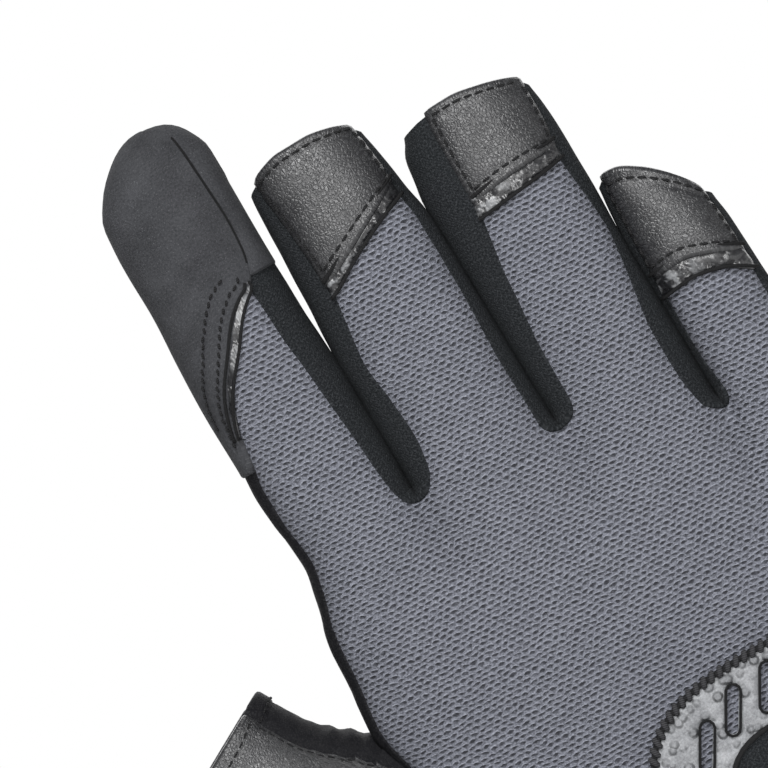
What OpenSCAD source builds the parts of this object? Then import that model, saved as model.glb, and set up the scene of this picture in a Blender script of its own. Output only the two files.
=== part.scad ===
// Right-hand sailing glove, worn shape, fingers up.
// x runs towards the little finger, -y is the back of the hand, z runs to the fingertips.
// The origin is the centre of the wrist opening.

/* [Hand] */
// Thickness of the fabric walls
fabric_t = 1.6; // [1.2:0.1:2]
// Height at which the cuff ends and the hand panels begin
cuff_top = 56; // [50:1:60]
// Roundness of the hand's cross-section
hand_n = 2.6; // [2:0.1:3]

/* [Fingers] */
// Roundness of the fingers' cross-section
finger_n = 2.4; // [2:0.1:3]
// Gap between two segments at a bending crease
crease_gap = 0.4; // [0.3:0.1:0.8]
// Length of the leather finger caps
cap_length = 20; // [16:1:22]
// Width of the glossy trim below each cap
trim_width = 3.6; // [3:0.1:4.5]
// Height at which the closed index fingertip starts to round
index_dome_z = 199; // [196:1:202]
// Height of the closed index fingertip
index_tip_z = 214.5; // [212:0.5:216]

/* [Thumb] */
// Angle of the thumb away from the hand
thumb_tilt = 28; // [22:1:32]
// Length of the thumb beyond its crease
thumb_length = 24; // [20:1:26]

/* [Closure] */
// Bottom edge of the wrist strap
strap_z = 14; // [10:1:16]
// Width of the wrist strap
strap_width = 28; // [24:1:30]
// Thickness of the wrist strap
strap_t = 2; // [1.6:0.1:2.4]
// Thickness of the loop patch and of the hook patch
patch_t = 0.9; // [0.7:0.1:1]

/* [Back patch] */
// Top of the arched grip patch on the back
arch_top = 76; // [74:1:78]
// Width of the arched band
arch_band = 12.5; // [11:0.5:14]
// Half of the arch's outer width
arch_half = 27.5; // [25:0.5:28]
// Width of one vent slot
slot_width = 2.1; // [1.6:0.1:2.6]
// Length of one vent slot
slot_length = 8.5; // [7:0.5:9]

/* [Hidden] */

mesh_grey = [0.36, 0.37, 0.41];
leather_black = [0.16, 0.16, 0.17];
suede_black = [0.2, 0.2, 0.21];
knit_black = [0.07, 0.08, 0.08];
trim_black = [0.1, 0.1, 0.11];
patch_grey = [0.62, 0.62, 0.61];

// Cross-sections as [z, left x, right x, back y, palm y], from low to high.
HAND = [[0, -38, 38, -21, 21], [28, -35, 35, -18.5, 19], [56, -41, 42, -17, 18],
    [80, -50, 48, -16.5, 18], [105, -53, 51.5, -15, 16], [118, -52, 52, -13.5, 14], [134, -50, 52, -12, 12]];
INDEX = [[130, -49.6, -25.2, -11, 11], [162, -49.6, -25.2, -10.6, 10.6], [199, -48.8, -25, -9.5, 9.5]];
MIDDLE = [[128, -24.3, 3.7, -11, 11], [162, -22.6, 3.7, -10.6, 10.6], [197.5, -22.2, 1.2, -9.8, 9.8]];
RING = [[126, 4.4, 32.5, -11, 11], [158, 4.6, 32.7, -10.6, 10.6], [190, 5.6, 32.2, -9.8, 9.8]];
LITTLE = [[116, 33.2, 52, -10, 10], [135, 33.2, 51.5, -9.5, 9.5], [164, 33.8, 50.2, -8.6, 8.6]];
THUMB = [[0, -14.3, 14.3, -7.5, 17], [24, -13.8, 13.8, -6, 17]];
GUSSET = [[-60, -2, 20, -8, 16], [-36, -10.5, 22, -9, 18.5], [-12, -14, 20, -8.5, 18], [0, -14.3, 14.3, -7.5, 17]];

// One finger as [stations, knuckle crease z, middle crease z, left end z, right end z].
F_INDEX = [INDEX, 132, 162, index_dome_z, index_dome_z];
F_MIDDLE = [MIDDLE, 131, 162, 195.2, 195.6];
F_RING = [RING, 129, 158, 190.5, 187];
F_LITTLE = [LITTLE, 119, 135, 164, 151];
FINGERS = [F_INDEX, F_MIDDLE, F_RING, F_LITTLE];

// Directions round a cross-section in degrees: 0 is +x, 90 is the palm, 180 is -x, 270 is the back.
back_from = 208;
back_to = 332;
palm_from = 28;
palm_to = 152;

thumb_pivot = [-69.8, 0, 86.3];
hand_top = 134;
// Where the fingers part, from the index finger to the little finger
crotch_x = [-24.75, 4.05, 32.85];
web_width = 3;
web_height = 8;
pad_t = 1.4;
back_patch_t = 1.2;
edging_width = 1.3;
cuff_t = 2.4;
binding_width = 6;
binding_t = 0.8;
tab_t = 1.2;
hem_width = 4;
loop_width = 10;
loop_height = 24;
loop_depth = 3.4;
webbing_t = 1;
arch_x = 12;
arch_foot = 50;
arch_n = 3;
slot_pitch = 7.4;
slot_lean = 31;
reach = 200;

// A superellipse's coordinate from a cosine or sine.
function bend(v, n) = sign(v) * pow(abs(v), 2 / n);
// The value in column k of a table of stations, at height z.
function at(st, z, k) = lookup(z, [for (s = st) [s[0], s[k]]]);
// A point of the surface at height z and direction a, moved inwards by inset.
function skin(st, n, z, a, inset) =
    let (xl = at(st, z, 1), xr = at(st, z, 2), yb = at(st, z, 3), yp = at(st, z, 4))
    [(xl + xr) / 2 + ((xr - xl) / 2 - inset) * bend(cos(a), n),
     (yb + yp) / 2 + ((yp - yb) / 2 - inset) * bend(sin(a), n), z];
// Height of an edge that runs from ends[0] at -x to ends[1] at +x.
function edge_z(ends, a) = ends[0] + (ends[1] - ends[0]) * (1 + cos(a)) / 2;

// A curved wall from direction a0 to a1, between a low and a high edge, given by their heights at -x and +x.
module wall(st, n, a0, a1, low, high, t = fabric_t, out = 0, cols = 8, rows = 2) {
    points = [for (inset = [-out, t - out]) for (r = [0:rows]) for (c = [0:cols])
        let (a = a0 + (a1 - a0) * c / cols,
             z = edge_z(low, a) + (edge_z(high, a) - edge_z(low, a)) * r / rows)
        skin(st, n, z, a, inset)];
    w = cols + 1;
    m = w * (rows + 1);
    quads = concat(
        [for (r = [0:rows - 1]) for (c = [0:cols - 1])
            [r * w + c, (r + 1) * w + c, (r + 1) * w + c + 1, r * w + c + 1]],
        [for (r = [0:rows - 1]) for (c = [0:cols - 1])
            [m + r * w + c, m + r * w + c + 1, m + (r + 1) * w + c + 1, m + (r + 1) * w + c]],
        [for (c = [0:cols - 1]) [c, c + 1, m + c + 1, m + c]],
        [for (c = [0:cols - 1]) [rows * w + c, m + rows * w + c, m + rows * w + c + 1, rows * w + c + 1]],
        [for (r = [0:rows - 1]) [r * w, m + r * w, m + (r + 1) * w, (r + 1) * w]],
        [for (r = [0:rows - 1]) [r * w + cols, (r + 1) * w + cols, m + (r + 1) * w + cols, m + r * w + cols]]);
    polyhedron(points, [for (q = quads) for (f = [[q[0], q[1], q[2]], [q[0], q[2], q[3]]]) f]);
}

// The solid inside the surface between two heights, moved inwards by inset.
module form(st, n, z0, z1, inset = 0, cols = 32, rows = 6) {
    points = [for (r = [0:rows]) for (c = [0:cols - 1])
        skin(st, n, z0 + (z1 - z0) * r / rows, 360 * c / cols, inset)];
    sides = [for (r = [0:rows - 1]) for (c = [0:cols - 1])
        let (d = (c + 1) % cols, p = r * cols, q = (r + 1) * cols)
        each [[p + c, q + c, q + d], [p + c, q + d, p + d]]];
    polyhedron(points, concat(sides,
        [[for (c = [0:cols - 1]) c]], [[for (c = [cols - 1:-1:0]) rows * cols + c]]));
}

module at_thumb() {
    translate(thumb_pivot) rotate([0, -thumb_tilt, 0]) children();
}

// What is taken away above each finger's knuckle crease.
module above_creases() {
    edges = concat([-60], crotch_x, [60]);
    for (i = [0:3])
        translate([edges[i], -30, FINGERS[i][1]]) cube([edges[i + 1] - edges[i] + 0.01, 60, 40]);
}

module thumb_hole() {
    at_thumb() form(GUSSET, finger_n, -58, 0.5, fabric_t);
}

module hand_wall(a0, a1, cols) {
    difference() {
        wall(HAND, hand_n, a0, a1, [cuff_top, cuff_top], [hand_top, hand_top], cols = cols, rows = 4);
        above_creases();
        thumb_hole();
    }
}

module back_panel() { color(mesh_grey) hand_wall(back_from, back_to, 12); }
module palm_panel() { color(leather_black) hand_wall(palm_from, palm_to, 12); }
module outer_side_panel() { color(knit_black) hand_wall(back_to - 360, palm_from, 5); }
module inner_side_panel() { color(leather_black) hand_wall(palm_to, back_from, 5); }

module thumb_gusset() {
    color(leather_black) difference() {
        at_thumb() difference() {
            form(GUSSET, finger_n, -60, 0, rows = 4);
            form(GUSSET, finger_n, -61, 1, fabric_t, rows = 4);
        }
        form(HAND, hand_n, 0, hand_top, -0.3, 48, 10);
    }
}

// The crotch between finger i and the next: a strip from the back panel to the palm panel.
module web(i) {
    top = min(FINGERS[i][1], FINGERS[i + 1][1]);
    color(knit_black) intersection() {
        translate([crotch_x[i] - web_width / 2, -30, top - web_height]) cube([web_width, 60, web_height]);
        form(HAND, hand_n, 100, hand_top, fabric_t + 0.3);
    }
}

module on_palm() {
    intersection() {
        wall(HAND, hand_n, palm_from + 6, palm_to - 6, [cuff_top, cuff_top], [126, 126], pad_t, pad_t + 0.3, 14, 5);
        rotate([90, 0, 0]) translate([0, 0, -reach / 2]) linear_extrude(reach) children();
    }
}

module rounded(x0, x1, z0, z1, r) {
    hull() for (x = [x0 + r, x1 - r]) for (z = [z0 + r, z1 - r]) translate([x, z]) circle(r, $fn = 24);
}

module palm_pad_upper() { color(suede_black) on_palm() rounded(-40, 42, 92, 114, 7); }
module palm_pad_heel() { color(suede_black) on_palm() rounded(4, 36, 60, 88, 9); }

// Half of a rounded outline over the arch's foot, with half-width w and height h.
module hump(w, h) {
    translate([arch_x, arch_foot]) polygon([for (a = [0:5:180]) [w * bend(cos(a), arch_n), h * bend(sin(a), arch_n)]]);
}

module arch() {
    difference() {
        hump(arch_half, arch_top - arch_foot);
        translate([0, -0.01]) hump(arch_half - arch_band, arch_top - arch_foot - arch_band);
    }
}

module slots() {
    mid = arch_band / 2;
    for (i = [-2:2])
        translate([arch_x + i * slot_pitch, arch_foot
            + (arch_top - arch_foot - mid) * bend(sqrt(1 - pow(abs(i) * slot_pitch / (arch_half - mid), arch_n)), 2)])
            rotate(-slot_lean) hull() for (s = [-1, 1])
                translate([0, s * (slot_length - slot_width) / 2])
                    circle(d = slot_width, $fn = 16);
}

module on_back() {
    intersection() {
        wall(HAND, hand_n, back_from + 4, back_to - 4, [arch_foot - 2, arch_foot - 2], [82, 82],
            back_patch_t, back_patch_t + 0.3, 16, 4);
        rotate([90, 0, 0]) translate([0, 0, -reach / 2]) linear_extrude(reach) children();
    }
}

module back_patch() {
    color(patch_grey) on_back() difference() {
        arch();
        slots();
    }
}

module back_patch_edging() {
    color(knit_black) on_back() difference() {
        hump(arch_half + edging_width, arch_top - arch_foot + edging_width);
        translate([0, -0.01]) hump(arch_half + 0.05, arch_top - arch_foot + 0.05);
    }
}

module cuff_back() { color(knit_black) wall(HAND, hand_n, 180, 360, [0, 0], [cuff_top, cuff_top], cuff_t, 0, 20, 8); }
module cuff_palm() { color(knit_black) wall(HAND, hand_n, 0, 180, [0, 0], [cuff_top, cuff_top], cuff_t, 0, 20, 8); }

module cuff_binding() {
    color(trim_black) for (a = [0, 180])
        wall(HAND, hand_n, a, a + 180, [0, 0], [binding_width, binding_width], binding_t, binding_t, 20, 1);
}

// The closure's layers, each a wall over the cuff, held clear of the one below it.
layer_gap = 0.35;
loop_out = patch_t + layer_gap;
hook_out = loop_out + layer_gap + patch_t;
strap_out = hook_out + layer_gap + strap_t;
tab_out = strap_out + layer_gap + tab_t;
module layer(a0, a1, margin, t, out, cols) {
    wall(HAND, hand_n, a0, a1, [strap_z + margin, strap_z + margin],
        [strap_z + strap_width - margin, strap_z + strap_width - margin], t, out, cols, 4);
}
module loop_patch() { color(trim_black) layer(212, 318, 3, patch_t, loop_out, 12); }
module strap_anchor() { color(knit_black) layer(341, 353, 1, strap_out - strap_t - 2 * layer_gap, strap_out - strap_t - layer_gap, 3); }
module strap_hook_patch() { color(trim_black) layer(216, 262, 3, patch_t, hook_out, 6); }
module strap() { color(knit_black) layer(212, 354, 0, strap_t, strap_out, 18); }
module strap_tab() { color(patch_grey) layer(214, 236, 4, tab_t, tab_out, 5); }

// A webbing loop on the palm side of the wrist.
module pull_loop() {
    color(trim_black) translate([-loop_width / 2, 22, -loop_height / 2]) difference() {
        cube([loop_width, loop_depth, loop_height]);
        translate([-1, webbing_t, webbing_t])
            cube([loop_width + 2, loop_depth - 2 * webbing_t, loop_height - 2 * webbing_t]);
    }
}

// The parts of one finger. f is a row of FINGERS.
module base_back(f) { color(mesh_grey) segment(f, back_from, back_to); }
module base_palm(f) { color(leather_black) segment(f, palm_from, palm_to); }
module base_sides(f) {
    color(knit_black) {
        segment(f, back_to - 360, palm_from, 4);
        segment(f, palm_to, back_from, 4);
    }
}
module segment(f, a0, a1, cols = 8) {
    wall(f[0], finger_n, a0, a1, [f[1] + crease_gap, f[1] + crease_gap], [f[2], f[2]], cols = cols, rows = 1);
}

function low_edge(f) = [f[2] + crease_gap, f[2] + crease_gap];
function end_edge(f) = [f[3], f[4]];
// The lower edges of the trim and of the cap, which lean with the finger's end.
function trim_edge(f, drop) = [max(f[3] - cap_length - drop, f[2] + 2), max(f[4] - cap_length / 1.5 - drop, f[2] + 2)];
function trim_low(f) = trim_edge(f, trim_width);
function trim_high(f) = [for (z = trim_low(f)) z + trim_width];

module tip_back(f) { color(mesh_grey) wall(f[0], finger_n, back_from, back_to, low_edge(f), trim_low(f), rows = 1); }
module trim(f) { color(trim_black) wall(f[0], finger_n, back_from, back_to, trim_low(f), trim_high(f), rows = 1); }
module cap(f) { color(leather_black) wall(f[0], finger_n, back_from, back_to, trim_high(f), end_edge(f), rows = 1); }
module tip_palm(f) { color(leather_black) wall(f[0], finger_n, palm_from, palm_to, low_edge(f), end_edge(f), rows = 1); }
module tip_sides(f) {
    color(knit_black) {
        wall(f[0], finger_n, back_to - 360, palm_from, low_edge(f), end_edge(f), cols = 4, rows = 1);
        wall(f[0], finger_n, palm_to, back_from, low_edge(f), end_edge(f), cols = 4, rows = 1);
    }
}

// The index finger is closed: a suede wrap and a rounded cap, with the mesh ending in a glossy trim.
index_trim_low = [164, 176];
module index_tip_wrap() {
    color(suede_black) wall(INDEX, finger_n, back_from, back_to,
        [for (z = index_trim_low) z + trim_width], end_edge(F_INDEX), rows = 2);
}
module index_trim() {
    color(trim_black) wall(INDEX, finger_n, back_from, back_to, low_edge(F_INDEX),
        [for (z = index_trim_low) z + trim_width], rows = 1);
}
// The closed fingertip's surface shrinks along a quarter of an ellipse.
function dome(top, t) = let (c = (at(INDEX, index_dome_z, 1) + at(INDEX, index_dome_z, 2)) / 2)
    [for (u = [0:15:75])
        let (z = index_dome_z + (top - index_dome_z) * sin(u), x = (at(INDEX, index_dome_z, 2) - c - t) * cos(u),
             y = (at(INDEX, index_dome_z, 4) - t) * cos(u))
        [z, c - x, c + x, -y, y]];
module index_tip_cap() {
    color(suede_black) difference() {
        form(dome(index_tip_z, 0), finger_n, index_dome_z, index_tip_z - 0.5, cols = 24, rows = 5);
        form(dome(index_tip_z - fabric_t, fabric_t), finger_n, index_dome_z - 0.01, index_tip_z - 2.2, cols = 24, rows = 5);
    }
}

module thumb_wall(a0, a1, cols) {
    at_thumb() wall(THUMB, finger_n, a0, a1, [crease_gap, crease_gap], [thumb_length - hem_width, thumb_length - hem_width],
        cols = cols, rows = 1);
}
module thumb_back() { color(leather_black) thumb_wall(back_from, back_to, 8); }
module thumb_palm() { color(suede_black) thumb_wall(palm_from, palm_to, 8); }
module thumb_sides() {
    color(leather_black) {
        thumb_wall(back_to - 360, palm_from, 4);
        thumb_wall(palm_to, back_from, 4);
    }
}
// The folded edge round the open end of the thumb.
module thumb_hem() {
    color(leather_black) at_thumb() for (a = [0:90:270])
        wall(THUMB, finger_n, a, a + 90, [thumb_length - hem_width, thumb_length - hem_width], [thumb_length, thumb_length],
            fabric_t + 0.4, 0.2, 5, 1);
}

back_panel();
palm_panel();
outer_side_panel();
inner_side_panel();
thumb_gusset();
web(0);  // web_index_middle
web(1);  // web_middle_ring
web(2);  // web_ring_little
palm_pad_upper();
palm_pad_heel();
back_patch();
back_patch_edging();
cuff_back();
cuff_palm();
cuff_binding();
loop_patch();
strap_anchor();
pull_loop();
strap();
strap_hook_patch();
strap_tab();
base_back(F_INDEX);  // index_base_back
base_palm(F_INDEX);  // index_base_palm
base_sides(F_INDEX);  // index_base_sides
index_tip_wrap();
index_trim();
tip_palm(F_INDEX);  // index_tip_palm
tip_sides(F_INDEX);  // index_tip_sides
index_tip_cap();
base_back(F_MIDDLE);  // middle_base_back
base_palm(F_MIDDLE);  // middle_base_palm
base_sides(F_MIDDLE);  // middle_base_sides
tip_back(F_MIDDLE);  // middle_tip_back
trim(F_MIDDLE);  // middle_trim
cap(F_MIDDLE);  // middle_cap
tip_palm(F_MIDDLE);  // middle_tip_palm
tip_sides(F_MIDDLE);  // middle_tip_sides
base_back(F_RING);  // ring_base_back
base_palm(F_RING);  // ring_base_palm
base_sides(F_RING);  // ring_base_sides
tip_back(F_RING);  // ring_tip_back
trim(F_RING);  // ring_trim
cap(F_RING);  // ring_cap
tip_palm(F_RING);  // ring_tip_palm
tip_sides(F_RING);  // ring_tip_sides
base_back(F_LITTLE);  // little_base_back
base_palm(F_LITTLE);  // little_base_palm
base_sides(F_LITTLE);  // little_base_sides
tip_back(F_LITTLE);  // little_tip_back
trim(F_LITTLE);  // little_trim
cap(F_LITTLE);  // little_cap
tip_palm(F_LITTLE);  // little_tip_palm
tip_sides(F_LITTLE);  // little_tip_sides
thumb_back();
thumb_palm();
thumb_sides();
thumb_hem();
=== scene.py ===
import math
from random import Random

import bpy
import numpy as np
from mathutils import Matrix, Vector, noise
from mathutils.geometry import delaunay_2d_cdt


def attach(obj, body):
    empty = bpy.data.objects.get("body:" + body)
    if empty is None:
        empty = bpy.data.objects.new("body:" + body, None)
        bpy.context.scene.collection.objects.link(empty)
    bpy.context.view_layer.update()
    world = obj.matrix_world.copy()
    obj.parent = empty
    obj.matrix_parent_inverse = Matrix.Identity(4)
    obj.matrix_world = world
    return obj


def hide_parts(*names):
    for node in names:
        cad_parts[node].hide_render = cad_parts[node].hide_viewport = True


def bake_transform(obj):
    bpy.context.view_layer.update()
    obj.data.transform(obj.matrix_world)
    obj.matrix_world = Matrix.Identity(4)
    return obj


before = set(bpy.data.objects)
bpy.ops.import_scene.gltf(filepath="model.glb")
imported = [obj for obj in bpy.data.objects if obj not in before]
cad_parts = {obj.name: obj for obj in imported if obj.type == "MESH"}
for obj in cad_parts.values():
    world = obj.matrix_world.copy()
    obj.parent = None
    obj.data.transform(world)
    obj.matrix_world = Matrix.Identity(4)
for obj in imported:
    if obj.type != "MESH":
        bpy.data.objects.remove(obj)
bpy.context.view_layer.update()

# Lengths are in millimetres up to the point where a mesh is made.
MM = 0.001
FABRIC = 1.2


# ---------------------------------------------------------------- curves

def curve(*points):
    """A smooth function of z through (z, value) points, held flat beyond its ends."""
    table = np.array(sorted(points), float)
    zs, vs = table[:, 0], table[:, 1]
    rise = np.diff(vs) / np.diff(zs)
    slope = np.empty(len(zs))
    slope[0], slope[-1] = rise[0], rise[-1]
    same = rise[:-1] * rise[1:] > 0
    slope[1:-1] = np.where(same, 2 * rise[:-1] * rise[1:] / np.where(same, rise[:-1] + rise[1:], 1), 0)

    def value(z):
        z = np.clip(np.asarray(z, float), zs[0], zs[-1])
        i = np.clip(np.searchsorted(zs, z) - 1, 0, len(zs) - 2)
        h = zs[i + 1] - zs[i]
        t = (z - zs[i]) / h
        return (
            vs[i] * (2 * t**3 - 3 * t**2 + 1)
            + slope[i] * h * (t**3 - 2 * t**2 + t)
            + vs[i + 1] * (3 * t**2 - 2 * t**3)
            + slope[i + 1] * h * (t**3 - t**2)
        )

    return value


def smooth(a, b, v):
    """Rises smoothly from 0 at a to 1 at b."""
    t = np.clip((np.asarray(v, float) - a) / (b - a), 0, 1)
    return t * t * (3 - 2 * t)


# The hand's outline, seen from the back, and its depth behind and in front of the middle plane.
LEFT = curve((0, -38), (30, -35.5), (56, -41), (70, -46.5), (80, -50), (90, -53), (97.5, -54.3), (103, -53.8),
             (108, -53.1), (113, -52.9), (118, -52.1), (121, -51.1), (125, -50.1), (131, -49.0), (136, -49.2),
             (140, -49.8), (146, -50.1), (152, -49.8), (162, -50.1), (174, -49.6), (185, -49.1), (196, -48.8),
             (199, -48.6))
RIGHT = curve((0, 38), (30, 35.5), (56, 42), (80, 48), (105, 51.5), (118, 52), (134, 51.8), (145, 51.4),
              (152, 50.8), (164, 50.2))
BACK = curve((0, 20), (30, 18.2), (56, 17), (80, 16.5), (105, 15), (120, 13), (134, 12))
PALM = curve((0, 20.5), (30, 18.8), (56, 18), (80, 18), (105, 16), (120, 13.5), (134, 12))
HAND_ROUND = 2.6
FINGER_ROUND = 2.4
CROTCH_X = np.array([-60, -24.6, 4.0, 18, 32.4, 60])
CROTCH_Z = np.array([131, 131, 129, 124, 117, 115])


class Finger:
    """A finger's outline (left, right), depth, seams on the back (dl, dr) and palm (pl, pr), and joints."""

    def __init__(self, name, left, right, back, palm, dl, dr, z_hand, z_split, z_end, bends, crotch):
        self.name, self.left, self.right, self.back, self.palm = name, left, right, back, palm
        self.dl, self.dr = dl, dr
        self.z_hand, self.z_split, self.z_end, self.bends, self.crotch = z_hand, z_split, z_end, bends, crotch
        self.pl = lambda z: left(z) + 3.2
        self.pr = lambda z: right(z) - 3.2


# The lines between the fingers, below their crotches.
BETWEEN = [
    curve((50, -19), (90, -23.5), (131, -24.6)),
    curve((50, 2), (90, 3.6), (129, 4.4)),
    curve((50, 22), (90, 28.5), (117, 32.4)),
]
LOW_DEPTH = 10.8

INDEX = Finger(
    "index", LEFT,
    curve((90, -23.5), (131, -24.6), (140, -24.5), (158, -24.4), (165, -24.7), (172, -24.95), (185, -25.1),
          (199, -24.9)),
    curve((120, LOW_DEPTH), (160, 10.4), (199, 9.5)), curve((120, LOW_DEPTH), (160, 10.4), (199, 9.5)),
    curve((56, -40.2), (70, -45.6), (80, -49.1), (90, -52.1), (97, -53.4), (108, -52.2), (118, -51.2),
          (125, -49.2), (131, -48.1), (140, -48.9), (147, -49.0), (151, -48.2), (159, -46.8), (164.6, -44.9),
          (172, -39.8), (176.4, -36.4), (179, -33.4), (180.4, -31)),
    curve((131, -26.5), (133, -27.0), (138, -27.7), (144, -28.0), (152, -28.6), (162, -29.3), (169, -30.1),
          (177, -30.5), (180.4, -30.9)),
    132.5, 149, 199, [(132.5, 148), (152, 171)], (131, 131))
MIDDLE = Finger(
    "middle",
    curve((90, -23.5), (131, -24.6), (140, -24.4), (158, -24.3), (165, -24.0), (172, -23.5),
          (180, -23.1), (193, -22.4), (198, -21.8)),
    curve((90, 3.6), (129, 4.4), (140, 4.25), (170, 4.25), (176, 3.9), (182, 2.9), (190, 1.9), (196, 1.0)),
    curve((120, LOW_DEPTH), (160, 10.4), (198, 9.6)), curve((120, LOW_DEPTH), (160, 10.4), (198, 9.6)),
    curve((131, -22.3), (133, -21.3), (136, -20.3), (141, -19.7), (148, -20.1), (157, -21.0), (164, -20.1),
          (171, -19.1), (177, -18.9), (186, -19.6), (195, -20.6)),
    curve((129, 2.4), (131, 2.1), (136, 2.1), (145, 2.0), (155, 2.2), (165, 2.4), (174, 2.4), (181, 1.6),
          (190, 0.9), (196, 0.2)),
    132.5, 148, 197, [(132.5, 147.5), (152, 171)], (131, 129))
RING = Finger(
    "ring",
    curve((90, 3.6), (129, 4.4), (140, 4.35), (158, 4.35), (176, 4.4), (182, 5.2), (186, 5.9), (190, 7.6)),
    curve((90, 28.5), (117, 32.3), (126, 32.3), (135, 32.3), (143, 32.3), (150, 32.4), (158, 32.6),
          (165, 32.8), (176, 32.8), (182, 32.5), (187, 32.1)),
    curve((116, LOW_DEPTH), (158, 10.4), (190, 9.6)), curve((116, LOW_DEPTH), (158, 10.4), (190, 9.6)),
    curve((129, 6.6), (130.5, 7.5), (135, 7.9), (142, 8.1), (151, 9.0), (159, 9.8), (169, 11.3), (175, 12.3),
          (183, 12.5), (191, 12.9)),
    curve((117, 31.0), (119.6, 29.5), (126, 28.5), (135, 28.4), (143, 29.6), (150, 30.6), (156, 31.3),
          (163, 31.0), (172, 30.4), (180, 31.0), (188, 31.3)),
    131, 145, 190, [(131, 144.5), (148, 168)], (129, 117))
LITTLE = Finger(
    "little",
    curve((90, 28.5), (117, 32.3), (126, 32.4), (138, 32.4), (150, 32.5), (155, 32.9), (164, 33.7)),
    RIGHT,
    curve((116, LOW_DEPTH), (140, 9.4), (164, 8.6)), curve((116, LOW_DEPTH), (140, 9.4), (164, 8.6)),
    curve((117, 33.3), (119, 33.2), (126, 32.8), (138, 32.9), (144, 33.2), (155, 33.8), (164, 34.3)),
    curve((56, 40.5), (80, 46.5), (105, 50.1), (118, 50.7), (134, 50.6), (145, 50.0), (152, 49.6),
          (164, 49.2)),
    120, 128.5, 164, [(120, 128), (129, 143)], (117, 115))
FINGERS = [INDEX, MIDDLE, RING, LITTLE]


def depth(f, x, z, side):
    """How far the surface stands from the middle plane: side -1 is the back, 1 the palm."""
    x, z = np.broadcast_arrays(np.asarray(x, float), np.asarray(z, float))
    tall = (BACK if side < 0 else PALM)(z)
    c, half = (LEFT(z) + RIGHT(z)) / 2, (RIGHT(z) - LEFT(z)) / 2
    u = np.clip(np.abs((x - c) / half), 0, 1)
    hand = tall * (1 - u**HAND_ROUND) ** (1 / HAND_ROUND)
    fl, fr = f.left(z), f.right(z)
    u = np.clip((x - (fl + fr) / 2) / ((fr - fl) / 2), -1, 1)
    at = np.where(u < 0, f.crotch[0], f.crotch[1])
    outer = ((f is INDEX) & (u < 0)) | ((f is LITTLE) & (u > 0))
    keep = np.where(outer, 1.0, 0.72 + 0.28 * smooth(0, 11, z - at))
    tall = (f.back if side < 0 else f.palm)(z)
    ridge = tall * (1 - keep * np.abs(u) ** FINGER_ROUND) ** (1 / FINGER_ROUND)
    crotch = np.interp(x, CROTCH_X, CROTCH_Z)
    w = smooth(-30, 1, z - crotch)
    return (1 - w) * hand + w * ridge


# ---------------------------------------------------------------- meshes

class Cloth:
    """Vertices in millimetres, faces and flat coordinates of a piece of cloth, before it has thickness."""

    def __init__(self, v, f, uv):
        self.v, self.f, self.uv = np.asarray(v, float), np.asarray(f, int), np.asarray(uv, float)
        self.n = None

    def weld(self, tol=0.02):
        """Merges vertices that share a place, and drops faces that close up."""
        key = np.round(self.v / tol).astype(np.int64)
        first, back = np.unique(key, axis=0, return_index=True, return_inverse=True)[1:]
        back = back.reshape(-1)
        self.v, self.uv, self.f = self.v[first], self.uv[first], back[self.f]
        flat = np.array([len(set(q)) > 2 for q in self.f.tolist()])
        self.f = self.f[flat]
        return self

    def face_outward(self, centre):
        """Vertex normals that point away from centre, which is a point or one point per vertex."""
        a, b, c, d = (self.v[self.f[:, i]] for i in range(4))
        normal = np.cross(c - a, d - b)
        n = np.zeros_like(self.v)
        for i in range(4):
            np.add.at(n, self.f[:, i], normal)
        n /= np.maximum(np.linalg.norm(n, axis=1), 1e-12)[:, None]
        if np.sum(n * (self.v - centre)) < 0:
            n = -n
            self.f = self.f[:, ::-1]
        self.n = n
        return self

    def lift(self, amount):
        """Moves the vertices along their normals."""
        self.v = self.v + self.n * np.asarray(amount, float).reshape(-1, 1)
        return self


def grid(points, uv=None):
    """A cloth from rows and columns of points. Its flat coordinates are lengths across and along."""
    rows, cols = points.shape[:2]
    if uv is None:
        across = np.zeros((rows, cols))
        across[:, 1:] = np.cumsum(np.linalg.norm(np.diff(points, axis=1), axis=2), axis=1)
        across -= across[:, -1:] / 2
        along = np.zeros((rows, cols))
        along[1:] = np.cumsum(np.linalg.norm(np.diff(points, axis=0), axis=2), axis=0)
        uv = np.stack([across, along.mean(1, keepdims=True).repeat(cols, 1)], axis=2)
    i = np.arange(rows * cols).reshape(rows, cols)
    f = np.stack([i[:-1, :-1], i[:-1, 1:], i[1:, 1:], i[1:, :-1]], axis=2).reshape(-1, 4)
    return Cloth(points.reshape(-1, 3), f, uv.reshape(-1, 2))


def join(*cloths):
    """Several cloths as one."""
    at = np.cumsum([0] + [len(c.v) for c in cloths])
    return Cloth(
        np.vstack([c.v for c in cloths]),
        np.vstack([c.f + k for c, k in zip(cloths, at)]),
        np.vstack([c.uv for c in cloths]),
    )


def apart(v, line):
    """The distance of each vertex from the nearest point of a line of points."""
    line = np.asarray(line, float).reshape(-1, 3)
    best = np.full(len(v), 1e9)
    for k in range(0, len(line), 200):
        d = v[:, None, :] - line[None, k:k + 200, :]
        best = np.minimum(best, (d**2).sum(2).min(1))
    return np.sqrt(best)


def ripple(v, scale, seed=0.0):
    """Smooth noise between about -1 and 1 at each vertex, with bumps about scale millimetres apart."""
    shift = np.array([seed, 0.0, -seed])
    return np.array([noise.noise(Vector(q)) for q in (v / scale + shift).tolist()])


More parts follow.
